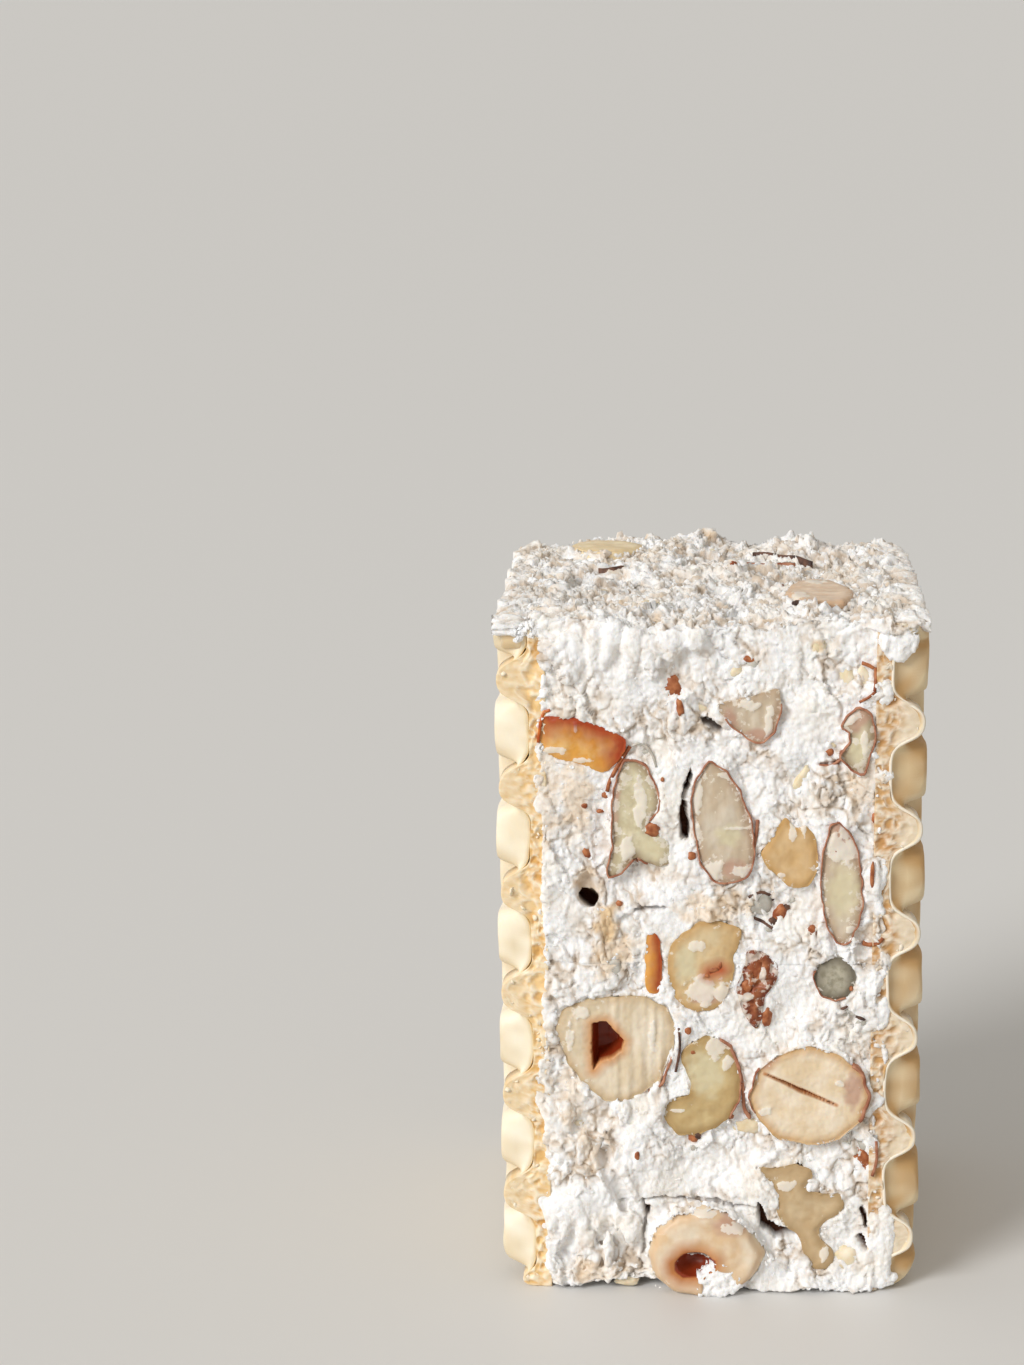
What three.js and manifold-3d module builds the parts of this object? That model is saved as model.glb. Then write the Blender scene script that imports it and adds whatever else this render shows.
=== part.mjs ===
// A cut bar of soft nougat between two wafer sheets, standing on its end. All sizes are in millimetres.
//
// +Z is up. The bar stands on z = 0 and its middle is over the origin. The face that shows the cut nuts
// looks towards -Y, one wafer sheet is at -X and the other at +X.
//
// The nougat is one block with a craggy skin. Each nut, fruit peel or shard in it is a solid of its own
// that sits in a socket of the block, flush with the cut face.

import * as THREE from 'three';
import { ImprovedNoise } from 'three/addons/math/ImprovedNoise.js';
import { mergeVertices } from 'three/addons/utils/BufferGeometryUtils.js';
import Module from 'manifold-3d';

const wasm = await Module();
wasm.setup();

// The whole bar.
const barWidth = 52;
const barDepth = 46;
const barHeight = 86;
const fitGap = 0.3;

// The wafer: a sheet pressed like an egg crate, raised and sunk squares in turn. The saw goes through it
// just off the middle of a row. There it leaves the crests narrow, and behind that the raised squares are
// wider than the sunk ones. Towards the top edge the sunk squares fade out, and the edge itself is rounded.
const waferThick = 5.8;
const waferCell = 6.6;
const rowBehindCut = -2.3;
const wallReach = 0.9;
const squareness = 5;
const narrowAtCut = 0.2;
const narrowBehind = -0.25;
const narrowAtTop = -1.55;
const cutReach = 3;
const topRound = 2.5;
const topThickness = 0.6;
const waferUneven = 0.25;
const unevenSize = 5;
const waferThinnest = 0.6;
const wornThickness = 0.3;

// Each sheet: the height of one crest, how thick the sunk squares are, how much the saw has pressed the
// crests in, and how far up the foot is worn round.
const rightSheet = { crestZ: 7.4, floor: 1.5, crush: 0.3, round: 5 };
const leftSheet = { crestZ: 12.4, floor: 1.5, crush: 0.2, round: 5.5 };

// The nougat and its crags.
const nougatHalf = barWidth / 2 - waferThick - fitGap;
const cragGrid = 3.25;
const bigCrag = 10;
const smallCrag = 5;
const cragStrength = 1.1;
const faceRelief = 1.1;
const topRelief = 1.5;
const topSink = 0.3;
const footRelief = 1.6;
const footSpread = 1.3;
const footEvenness = 0.6;
const footHeight = 7;
const flatFoot = 2;
const backRise = 1.3;
const backRiseFrom = 5;
const backRiseHalf = 10;
const cragSeed = { side: 3, top: 6, under: 8, foot: 9 };

// Where the flat of each cut nut lies, out from the face that it was cut on, and how uneven a kernel is.
const proud = 0.25;
const kernelSwell = 0.14;
const swellings = 1.4;
const socketReach = 4;
const softEdge = 0.3;

// How finely the round shapes are cut into facets.
const eggSides = 12;
const eggBands = 7;
const ringSides = 18;
const ringBands = 6;
const pitSides = 9;
const pitBands = 5;
const curvePoints = 1.5;
const tiny = 1e-3;

// ---------------------------------------------------------------- solids

function toManifold(geometry) {
  const bare = geometry.clone();
  bare.deleteAttribute('normal');
  bare.deleteAttribute('uv');
  const merged = mergeVertices(bare, 1e-4);
  return new wasm.Manifold(new wasm.Mesh({
    numProp: 3,
    vertProperties: new Float32Array(merged.attributes.position.array),
    triVerts: new Uint32Array(merged.index.array),
  }));
}

function toGeometry(solid) {
  const mesh = solid.getMesh();
  const geometry = new THREE.BufferGeometry();
  geometry.setAttribute('position', new THREE.BufferAttribute(mesh.vertProperties, 3));
  geometry.setIndex(new THREE.BufferAttribute(mesh.triVerts, 1));
  geometry.computeVertexNormals();
  return geometry;
}

function slab(minX, maxX, minY, maxY, minZ, maxZ) {
  const box = new THREE.BoxGeometry(maxX - minX, maxY - minY, maxZ - minZ);
  box.translate((minX + maxX) / 2, (minY + maxY) / 2, (minZ + maxZ) / 2);
  return toManifold(box);
}

const noise = new ImprovedNoise();

// Crags at two sizes, from about -1 to 1. Each face of the block gets its own seed.
function crag(u, v, seed) {
  const coarse = noise.noise(u / bigCrag + seed, v / bigCrag - seed, seed * 1.7);
  const fine = noise.noise(u / smallCrag - seed, v / smallCrag + seed, seed * 2.3);
  return cragStrength * (coarse + fine);
}

// 0 up to edge0 and 1 from edge1 on, with a soft step between them. The edges may run downwards.
function smooth(edge0, edge1, t) {
  const share = THREE.MathUtils.clamp((t - edge0) / (edge1 - edge0), 0, 1);
  return share * share * (3 - 2 * share);
}

// ---------------------------------------------------------------- wafers

const firstRow = rowBehindCut - barDepth / 2;

// How near a point is to the front cut or to the top: 1 on it, 0 where its effect ends.
function nearCut(y) {
  return smooth(cutReach, 0, y + barDepth / 2);
}

function nearTop(z) {
  return smooth(cutReach, 0, barHeight - z);
}

// A quarter round of the given radius that starts at 0: how far it has risen at one distance from there.
function roundedOff(distance, radius) {
  return Math.sqrt(1 - Math.max(0, 1 - distance / radius) ** 2);
}

// How far the sheet stands out at one point, as a share of the crest: flat squares with sloped walls.
function eggCrate(y, z, crestZ) {
  const wave = Math.cos(Math.PI * (y - firstRow) / waferCell) * Math.cos(Math.PI * (z - crestZ) / waferCell);
  const behind = THREE.MathUtils.lerp(narrowBehind, narrowAtTop, nearTop(z));
  const narrow = THREE.MathUtils.lerp(behind, narrowAtCut, nearCut(y));
  return 0.5 + 0.5 * THREE.MathUtils.clamp(squareness * (wave - narrow), -1, 1);
}

// The lines of a sheet's grid from first to last, at the given distances from the middle of each row of
// squares. Lines on both sides of every wall keep the walls steep.
function gridLines(first, last, rowMiddle, distances) {
  const lines = [];
  const rows = Math.ceil((last - first) / waferCell) + 1;
  for (let row = -rows; row <= rows; row++) {
    lines.push(...distances.map((distance) => rowMiddle + row * waferCell + distance));
  }
  const inside = lines.filter((t) => t > first + waferThinnest && t < last - waferThinnest);
  return [first, ...inside.sort((a, b) => a - b), last];
}

// One sheet on the side -1 or 1, with its flat inner face at x = 0 and its crests away from it.
function waferSolid(side, { crestZ, floor, crush, round }) {
  const toWall = waferCell / 2 - wallReach;
  const linesY = gridLines(-barDepth / 2, barDepth / 2, firstRow, [-toWall, toWall]);
  const linesZ = gridLines(0, barHeight, crestZ, [-toWall, 0, toWall]);
  const plate = new THREE.BoxGeometry(waferThick, 1, 1, 1, linesY.length - 1, linesZ.length - 1);
  const p = plate.attributes.position;
  for (let i = 0; i < p.count; i++) {
    const y = linesY[Math.round((p.getY(i) + 0.5) * (linesY.length - 1))];
    const z = linesZ[Math.round((p.getZ(i) + 0.5) * (linesZ.length - 1))];
    const relief = (waferThick - floor) * eggCrate(y, z, crestZ);
    const pressed = crush * nearCut(y) * relief / waferThick;
    const uneven = waferUneven * noise.noise(y / unevenSize, z / unevenSize, firstRow);
    const foot = THREE.MathUtils.lerp(wornThickness, 1, roundedOff(z, round));
    const top = THREE.MathUtils.lerp(topThickness, 1, roundedOff(barHeight - z, topRound));
    const out = (floor + relief - pressed + uneven) * foot * top;
    const thick = THREE.MathUtils.clamp(out, waferThinnest, waferThick);
    p.setXYZ(i, p.getX(i) * side < 0 ? p.getX(i) : side * thick, y, z);
  }
  const outside = [0, side * barWidth].sort((a, b) => a - b);
  return toManifold(plate).intersect(slab(...outside, -barDepth, barDepth, -1, barHeight + 1));
}

// ---------------------------------------------------------------- nougat

function nougatBlock() {
  const wide = nougatHalf + cragGrid;
  const steps = (size) => Math.round(size / cragGrid);
  const block = new THREE.BoxGeometry(2 * wide, barDepth, barHeight,
    steps(2 * wide), steps(barDepth), steps(barHeight));
  block.translate(0, 0, barHeight / 2);
  const p = block.attributes.position;
  const edgeY = barDepth / 2 - tiny;
  for (let i = 0; i < p.count; i++) {
    const x = p.getX(i);
    const y = p.getY(i);
    const z = p.getZ(i);
    if (Math.abs(y) > edgeY) {
      const side = Math.sign(y);
      const foot = smooth(footHeight, 0, z);
      const spread = footSpread * foot * (footEvenness + crag(x, 0, cragSeed.foot + side));
      const relief = faceRelief * crag(x, z, cragSeed.side + side) * smooth(0, flatFoot, z);
      p.setY(i, y + side * (relief + spread));
    }
    if (z > barHeight - tiny) {
      const inside = smooth(nougatHalf, backRiseHalf, Math.abs(x));
      const rise = backRise * smooth(backRiseFrom, barDepth / 2, y) * inside;
      p.setZ(i, z + rise + topRelief * crag(x, y, cragSeed.top) - topSink);
    }
    if (z < tiny) {
      p.setZ(i, Math.max(0, footRelief * crag(x, y, cragSeed.under)));
    }
  }
  return toManifold(block).intersect(slab(-nougatHalf, nougatHalf, -barDepth, barDepth, -1, 2 * barHeight));
}

// ---------------------------------------------------------------- nuts, peel and shards

// Every piece is made in the frame of the face that it was cut on: x to the right, z up the face, and
// -y straight out of it. These four groups carry the faces to their places on the bar.
const faces = {
  front: new THREE.Group(),
  back: new THREE.Group(),
  top: new THREE.Group(),
  under: new THREE.Group(),
};
faces.front.position.y = -barDepth / 2;
faces.back.position.y = barDepth / 2;
faces.back.rotation.z = Math.PI;
faces.top.position.z = barHeight;
faces.top.rotation.x = -Math.PI / 2;
faces.under.rotation.x = Math.PI / 2;

const finishes = {
  nougat: { color: '#f6f3ec', roughness: 0.9 },
  wafer: { color: '#ecd7ae', roughness: 0.75 },
  hazelnut: { color: '#e2cda4', roughness: 0.6 },
  almond: { color: '#d8cbb0', roughness: 0.65 },
  walnut: { color: '#c9b484', roughness: 0.6 },
  peel: { color: '#cf8a3a', roughness: 0.4 },
};

function named(name, geometry, finish) {
  const material = new THREE.MeshStandardMaterial({ metalness: 0, ...finishes[finish] });
  const mesh = new THREE.Mesh(geometry, material);
  mesh.name = name;
  return mesh;
}

const sockets = [];

// Puts a piece into its face and keeps the shape of the socket that it sits in.
function setIn(face, piece, socket, at, lean = 0) {
  piece.position.set(at[0], 0, at[1]);
  piece.rotation.y = THREE.MathUtils.degToRad(lean);
  faces[face].add(piece);
  piece.updateWorldMatrix(true, false);
  sockets.push(toManifold(socket.applyMatrix4(piece.matrixWorld)));
}

// How far a ring of points round the middle lies from it in the direction x, z, which has length 1.
function reach(ring, x, z) {
  const distances = ring.map(([ax, az], i) => {
    const [bx, bz] = ring[(i + 1) % ring.length];
    const share = (ax * z - az * x) / ((ax - bx) * z - (az - bz) * x);
    const distance = (ax + share * (bx - ax)) * x + (az + share * (bz - az)) * z;
    return share >= 0 && share <= 1 ? distance : 0;
  });
  return Math.max(...distances);
}

// A kernel whose widest section follows a ring of points. It is half[2] deep.
function ringed({ half, ring }, grow) {
  const ball = new THREE.SphereGeometry(1, ringSides, ringBands);
  const p = ball.attributes.position;
  for (let i = 0; i < p.count; i++) {
    const share = Math.hypot(p.getX(i), p.getZ(i));
    const along = new THREE.Vector2(p.getX(i) * half[0], p.getZ(i) * half[1]);
    if (share > tiny) {
      along.setLength(share * (reach(ring, along.x / along.length(), along.y / along.length()) + grow));
    }
    p.setXYZ(i, along.x, p.getY(i) * (half[2] + grow), along.y);
  }
  return ball;
}

// A whole kernel is an egg: half its width, its height and its depth, with the top drawn to a point and
// low swellings all round, so that no two are alike.
function egg({ at, half, point = 0, ring }, grow) {
  if (ring) {
    return ringed({ half, ring }, grow);
  }
  const ball = new THREE.SphereGeometry(1, eggSides, eggBands);
  const p = ball.attributes.position;
  for (let i = 0; i < p.count; i++) {
    const [x, y, z] = [p.getX(i), p.getY(i), p.getZ(i)];
    const swell = 1 + kernelSwell * noise.noise(swellings * x + at[0], swellings * y, swellings * z + at[1]);
    p.setXYZ(i, x * swell * (1 - point * z), y, z * swell);
  }
  ball.scale(half[0] + grow, half[2] + grow, half[1] + grow);
  return ball;
}

// A kernel that the knife has cut through: the egg behind a flat face, with any hollow in its middle.
function kernel({ name, finish, face, at, half, lean, point, ring, out = proud, hollow, stands }) {
  const whole = { at, half, point, ring };
  const big = 2 * half[1];
  const floor = stands ? -at[1] : -big;
  let solid = toManifold(egg(whole, 0)).intersect(slab(-big, big, -out, big, floor, big));
  if (hollow) {
    const pit = new THREE.SphereGeometry(1, pitSides, pitBands);
    pit.scale(hollow.half[0], hollow.half[2], hollow.half[1]);
    pit.translate(hollow.at[0], -out, hollow.at[1]);
    solid = solid.subtract(toManifold(pit));
  }
  setIn(face, named(name, toGeometry(solid), finish), egg(whole, fitGap), at, lean);
}

// A broken piece: its outline on the cut face, with soft edges, sunk by depth behind the face.
function broken(points, depth, out, grow) {
  const loop = new THREE.SplineCurve([...points, points[0]].map(([x, z]) => new THREE.Vector2(x, z)));
  const outline = loop.getPoints(Math.round(points.length * curvePoints)).slice(0, -1);
  const body = new THREE.ExtrudeGeometry(new THREE.Shape(outline), {
    depth: depth + out - 2 * softEdge,
    bevelThickness: softEdge,
    bevelSize: softEdge,
    bevelOffset: grow - softEdge,
    bevelSegments: 1,
    steps: 1,
  });
  body.translate(0, 0, softEdge - depth);
  body.rotateX(Math.PI / 2);
  return body;
}

function shard({ name, finish, face, at, depth, points, out = proud }) {
  const piece = named(name, toGeometry(toManifold(broken(points, depth, out, 0))), finish);
  setIn(face, piece, broken(points, depth + fitGap, socketReach, fitGap), at);
}

const kernels = [
  { name: 'hazelnut_hollow', finish: 'hazelnut', face: 'front', at: [-11.6, 32], half: [7.3, 7.1, 6],
    ring: [[-7.3, 2.3], [-6.2, -1.3], [-4.1, -4.3], [-1.7, -6.9], [1.8, -6.9], [5.5, -4.1], [7.3, 0.5],
      [7.5, 3.5], [5.5, 6.7], [-0.4, 6.7], [-4.9, 6.2], [-7.4, 4.2]],
    hollow: { at: [-0.9, 0.5], half: [2.0, 2.9, 3.2] } },
  { name: 'hazelnut_slit', finish: 'hazelnut', face: 'front', at: [12.1, 26.1], half: [7.3, 6.3, 6],
    out: 0.9 },
  { name: 'hazelnut_foot', finish: 'hazelnut', face: 'front', at: [-0.5, 5.5], half: [7.5, 6.3, 5.5],
    out: 2.6, hollow: { at: [-1.2, -1.2], half: [2.6, 1.8, 3] }, stands: true },
  { name: 'hazelnut_gold', finish: 'hazelnut', face: 'front', at: [-0.5, 42.6], half: [4.6, 5.9, 5],
    ring: [[-4.6, -0.2], [-4.4, 2.2], [-3.6, 3.7], [-2.2, 4.5], [-0.7, 5.8], [1.1, 5.9], [3.5, 5.5],
      [4.5, 4.8], [4.3, 3.2], [3.3, 2.2], [3.5, 0.7], [3.1, -2.3], [2, -4.6], [0.3, -5.8], [-1.9, -5.6],
      [-3.6, -4.3]] },
  { name: 'almond_middle', finish: 'almond', face: 'front', at: [1.4, 60.5], half: [3.5, 8, 4],
    lean: -10, point: 0.12 },
  { name: 'almond_right', finish: 'almond', face: 'front', at: [15.9, 53.8], half: [2.6, 8, 3.6],
    ring: [[-1, 8], [1.5, 4.8], [1.9, 2.8], [2.2, 0.3], [2.6, -1.9], [2.3, -4], [1.7, -6.6], [0.8, -8.1],
      [-0.4, -8], [-1.3, -6.3], [-2, -4.3], [-2.5, -1.6], [-2.4, 1.5], [-2, 4]] },
  { name: 'almond_top_front', finish: 'almond', face: 'top', at: [13.4, -9.5], half: [4.2, 7.6, 4],
    lean: -4, out: 0.6 },
  { name: 'almond_top_back', finish: 'almond', face: 'top', at: [-13.4, 17], half: [5, 4.4, 4],
    lean: 10, out: 1.6 },
  { name: 'hazelnut_back_high', finish: 'hazelnut', face: 'back', at: [-9.5, 65], half: [7, 6.7, 6] },
  { name: 'hazelnut_back_middle', finish: 'hazelnut', face: 'back', at: [9.6, 39], half: [7.4, 6.7, 6],
    hollow: { at: [0.5, -0.4], half: [2.2, 2.6, 3] } },
  { name: 'hazelnut_back_low', finish: 'hazelnut', face: 'back', at: [-10.8, 14.5], half: [6.8, 7.2, 6],
    out: 0.8 },
  { name: 'almond_back_high', finish: 'almond', face: 'back', at: [11.5, 68.5], half: [3.6, 8.6, 4],
    lean: 24, point: 0.15 },
  { name: 'almond_back_middle', finish: 'almond', face: 'back', at: [-10.6, 40.5], half: [3.5, 7.6, 4],
    lean: -58, point: 0.12 },
  { name: 'hazelnut_under', finish: 'hazelnut', face: 'under', at: [-9.5, -4], half: [6.6, 6.2, 5],
    out: -0.2 },
  { name: 'almond_under', finish: 'almond', face: 'under', at: [9.5, 3], half: [3.5, 7.8, 4],
    lean: 35, point: 0.12, out: -0.2 },
];

const shards = [
  { name: 'peel_large', finish: 'peel', face: 'front', at: [-14.7, 70.8], depth: 4,
    points: [[-4.6, 3.1], [-2.4, 3.2], [0.1, 2.5], [2.5, 1.5], [4.7, 0.2], [3.7, -1.8], [2.2, -3.7],
      [0.6, -3.1], [-0.9, -2.5], [-3.3, -1.6], [-4.7, -0.5]] },
  { name: 'peel_strip', finish: 'peel', face: 'front', at: [-6.9, 43], depth: 3,
    points: [[-0.6, 3.7], [0.6, 3.6], [0.9, 0.5], [0.8, -3.3], [-0.5, -3.6], [-0.9, -0.6]] },
  { name: 'walnut_tall', finish: 'walnut', face: 'front', at: [-9, 61.2], depth: 5,
    points: [[-1.1, 7.3], [0.6, 7.2], [2.1, 5], [2.8, 3], [2.6, 1], [1.3, -0.2], [2, -1.8], [3.8, -2.4],
      [3.9, -5.8], [1.6, -5.4], [-0.3, -4.3], [-1.5, -6.6], [-3.4, -6.9], [-2.8, -4.4], [-2.6, -1.6],
      [-2.8, 1], [-2.3, 4.6]] },
  { name: 'walnut_right', finish: 'walnut', face: 'front', at: [17.3, 71], depth: 4,
    points: [[-1.7, 1.8], [-0.3, 3.9], [1.2, 3.8], [2, 2.4], [2.1, -0.3], [1.4, -2.5], [0.6, -3.8],
      [-1.6, -1.9], [-0.2, 0.8]] },
  { name: 'walnut_lower', finish: 'walnut', face: 'front', at: [-0.6, 27.2], depth: 5,
    points: [[0.1, 6.5], [2.4, 5.6], [3.9, 3.4], [4.4, -0.9], [2.5, -4.7], [-0.6, -6.3], [-3.7, -6.3],
      [-5, -3.9], [-4.2, -2], [-1.8, -1.6], [-1.6, 0.6], [-2.7, 3], [-2.4, 4.8]] },
  { name: 'walnut_foot', finish: 'walnut', face: 'front', at: [11.6, 10], depth: 5,
    points: [[-5.6, 6.4], [-3.2, 6.2], [-0.8, 7], [1.3, 5.6], [0.1, 4.1], [1.4, 2.9], [4.6, 2.9],
      [4.9, 1], [2.8, -0.6], [1.7, -2.4], [3.6, -4.6], [3.6, -6.6], [1.4, -6.9], [0.1, -4.2],
      [-0.7, -2.2], [-3, -0.4], [-2.8, 2.7], [-3.9, 4.5]] },
  { name: 'almond_corner', finish: 'almond', face: 'front', at: [4.9, 74.2], depth: 4,
    points: [[-4, 1.3], [-0.6, 2.1], [3.2, 3.3], [3, -0.8], [1.4, -3.1], [-1.3, -2.2]] },
  { name: 'hazelnut_amber', finish: 'hazelnut', face: 'front', at: [9.6, 57], depth: 4,
    points: [[-3.5, 0.1], [-1.9, 2.3], [-0.5, 4.7], [0.3, 3.2], [2.1, 3.6], [3.1, 1.2], [3.3, -1.8],
      [2.4, -3.7], [0.6, -4.2], [-1, -3.1], [-2.7, -1.4]] },
  { name: 'almond_grey', finish: 'almond', face: 'front', at: [15.1, 41.2], depth: 4,
    points: [[-2.3, 0.6], [-1.2, 2.4], [1.2, 2.5], [2.4, 1], [2.2, -1.4], [0.4, -2.6], [-1.8, -1.8]] },
  { name: 'walnut_crumbled', finish: 'walnut', face: 'front', at: [5.7, 39.6], depth: 3.5,
    points: [[-1.1, 5], [0.4, 5.2], [2.2, 3.7], [2.5, 1.7], [0.9, -0.6], [0.7, -2.5], [0.1, -5],
      [-1.1, -3.4], [-2.4, -0.2], [-1.4, 2.8]] },
  { name: 'walnut_back_curl', finish: 'walnut', face: 'back', at: [1.2, 54.5], depth: 5,
    points: [[-4.8, 2.8], [-1.6, 4.6], [2.4, 3.9], [5.2, 1.6], [4.4, -1.9], [1.6, -2.4], [1, 0.4],
      [-1.5, 0.3], [-2.8, -3.4], [-5.6, -2.6]] },
  { name: 'walnut_back_hook', finish: 'walnut', face: 'back', at: [12.6, 20.5], depth: 5,
    points: [[-3.4, 5.2], [0.6, 6.4], [4.2, 4.3], [4.9, 0.2], [3.3, -5.6], [0.1, -5.9], [0.5, -1.8],
      [-2.3, 0.2]] },
  { name: 'peel_back', finish: 'peel', face: 'back', at: [-0.8, 27], depth: 4,
    points: [[-4.2, 1.7], [-0.4, 2.9], [4.1, 2.2], [4.7, -0.3], [0.4, -0.6], [-3.7, -2.1]] },
  { name: 'almond_back_shard', finish: 'almond', face: 'back', at: [1.5, 76.5], depth: 4,
    points: [[-5.2, 0.3], [-1.4, 2.2], [3.8, 1.9], [5.3, -0.4], [1.8, -2.1], [-2.8, -1.9]] },
  { name: 'walnut_under', finish: 'walnut', face: 'under', at: [3, -13], depth: 4, out: -0.2,
    points: [[-4.6, 1.6], [-0.8, 3.2], [3.9, 2], [4.8, -1.6], [1.2, -1], [-1.4, -3.4], [-4.9, -2.1]] },
];

kernels.forEach(kernel);
shards.forEach(shard);

// ---------------------------------------------------------------- the bar

const block = sockets.reduce((solid, socket) => solid.subtract(socket), nougatBlock());

const waferRight = named('wafer_right', toGeometry(waferSolid(1, rightSheet)), 'wafer');
waferRight.position.x = barWidth / 2 - waferThick;

const waferLeft = named('wafer_left', toGeometry(waferSolid(-1, leftSheet)), 'wafer');
waferLeft.position.x = waferThick - barWidth / 2;

const bar = new THREE.Group();
bar.add(named('nougat', toGeometry(block), 'nougat'), waferLeft, waferRight, ...Object.values(faces));

// The crags and nuts stand out unevenly, so the bar is moved until its box is centred on the origin.
const middle = new THREE.Box3().setFromObject(bar, true).getCenter(new THREE.Vector3());
bar.position.set(-middle.x, -middle.y, 0);

export default bar;
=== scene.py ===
# %% [markdown]
# # A bar of wafer nougat
#
# This lesson dresses the plain solids of a cut nougat bar. The real bar is whipped sugar, honey and egg
# white, stirred full of hazelnuts, almonds, walnuts and candied orange peel, pressed between two wafer
# sheets and sawn into blocks. Sawing tears the nougat and slices the nuts, so the cut faces are where
# everything happens: rough white crumb, smooth nut flesh, thin brown skins.

# %% Load the solids
import math
import random

import bmesh
import bpy
from mathutils import Matrix, Vector, noise
from mathutils.bvhtree import BVHTree
from mathutils.kdtree import KDTree


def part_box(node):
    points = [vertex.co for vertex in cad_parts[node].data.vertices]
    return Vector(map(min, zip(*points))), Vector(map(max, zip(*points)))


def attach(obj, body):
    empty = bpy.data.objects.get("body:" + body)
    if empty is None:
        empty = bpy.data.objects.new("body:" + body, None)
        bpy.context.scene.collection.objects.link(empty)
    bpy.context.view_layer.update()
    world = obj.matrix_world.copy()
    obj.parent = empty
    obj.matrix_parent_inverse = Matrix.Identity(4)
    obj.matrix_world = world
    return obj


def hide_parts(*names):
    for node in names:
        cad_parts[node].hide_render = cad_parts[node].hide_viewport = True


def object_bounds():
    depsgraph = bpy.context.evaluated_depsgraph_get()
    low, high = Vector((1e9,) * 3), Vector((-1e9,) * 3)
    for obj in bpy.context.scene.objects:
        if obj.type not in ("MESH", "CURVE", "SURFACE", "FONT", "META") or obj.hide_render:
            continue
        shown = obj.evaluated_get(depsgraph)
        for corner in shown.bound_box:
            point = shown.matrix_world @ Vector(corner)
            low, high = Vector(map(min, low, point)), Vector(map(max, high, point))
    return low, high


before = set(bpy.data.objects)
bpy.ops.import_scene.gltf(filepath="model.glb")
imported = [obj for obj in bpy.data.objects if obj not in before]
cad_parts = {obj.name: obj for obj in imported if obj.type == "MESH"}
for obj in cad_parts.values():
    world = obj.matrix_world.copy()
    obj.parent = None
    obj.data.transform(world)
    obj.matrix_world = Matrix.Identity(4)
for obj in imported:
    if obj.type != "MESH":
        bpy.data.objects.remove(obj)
cad_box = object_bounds()
print("solids:", len(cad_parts), "box:", [list(corner) for corner in cad_box])

# %% [markdown]
# ## Sizes
#
# Everything is worked out in millimetres, because that is how a confectioner would measure it, and turned
# to metres when a vertex is placed. The bar's planes come from the solids, so nothing is fitted twice.

# %% The bar's own measures
MM = 0.001
LOW = Vector(cad_box[0]) / MM
HIGH = Vector(cad_box[1]) / MM


def box_mm(node):
    """Lowest and highest corner of one solid, in millimetres."""
    low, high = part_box(node)
    return low / MM, high / MM


WAFER_LOW, WAFER_HIGH = box_mm("wafer_left")
FRONT = WAFER_LOW.y
BACK = WAFER_HIGH.y
TOP = WAFER_HIGH.z
SIDE = box_mm("nougat")[1].x
OUT = {
    "front": Vector((0, -1, 0)),
    "back": Vector((0, 1, 0)),
    "top": Vector((0, 0, 1)),
    "under": Vector((0, 0, -1)),
}
LEVEL = {"front": -FRONT, "back": BACK, "top": TOP, "under": 0.0}
print("front", FRONT, "back", BACK, "top", TOP, "nougat half width", SIDE)


def flat_place(p, face):
    """A point's two coordinates in the plane of a face."""
    return Vector((p.x, p.z)) if face in ("front", "back") else Vector((p.x, p.y))


def on_face(u, v, face, rise=0.0):
    """The point at u and v on a face, standing out by rise."""
    across = Vector((u, 0, v)) if face in ("front", "back") else Vector((u, v, 0))
    return across + OUT[face] * (LEVEL[face] + rise)


# %% [markdown]
# ## Colour and node helpers
#
# Colours are picked as sRGB hex values. Cycles works in linear light, so one function turns a hex value
# into linear numbers, and it is used for every colour. One more function adds a shader node with its
# settings and links: with it a material reads as a short recipe.

# %% Helpers for materials


def linear(code):
    """Turns an sRGB hex colour into linear red, green, blue and alpha."""
    channels = [int(code[i:i + 2], 16) / 255 for i in (1, 3, 5)]
    return [c / 12.92 if c <= 0.04045 else ((c + 0.055) / 1.055) ** 2.4 for c in channels] + [1]


def add(tree, kind, inputs=(), stops=(), **settings):
    """Adds a shader node. inputs holds values, hex colours or sockets to link; stops fills a colour ramp."""
    node = tree.nodes.new("ShaderNode" + kind)
    for key, value in settings.items():
        setattr(node, key, value)
    for key, value in dict(inputs).items():
        if isinstance(value, bpy.types.NodeSocket):
            tree.links.new(value, node.inputs[key])
        else:
            node.inputs[key].default_value = linear(value) if isinstance(value, str) else value
    for i, (place, colour) in enumerate(stops):
        element = node.color_ramp.elements[i] if i < 2 else node.color_ramp.elements.new(place)
        element.position = place
        element.color = linear(colour)
    return node


def per_mm(size):
    """The texture scale that makes one feature this many millimetres wide."""
    return 1 / (size * MM)


def new_material(name):
    """An empty material and its node tree."""
    material = bpy.data.materials.new(name)
    material.use_nodes = True
    material.node_tree.nodes.clear()
    return material, material.node_tree
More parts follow.
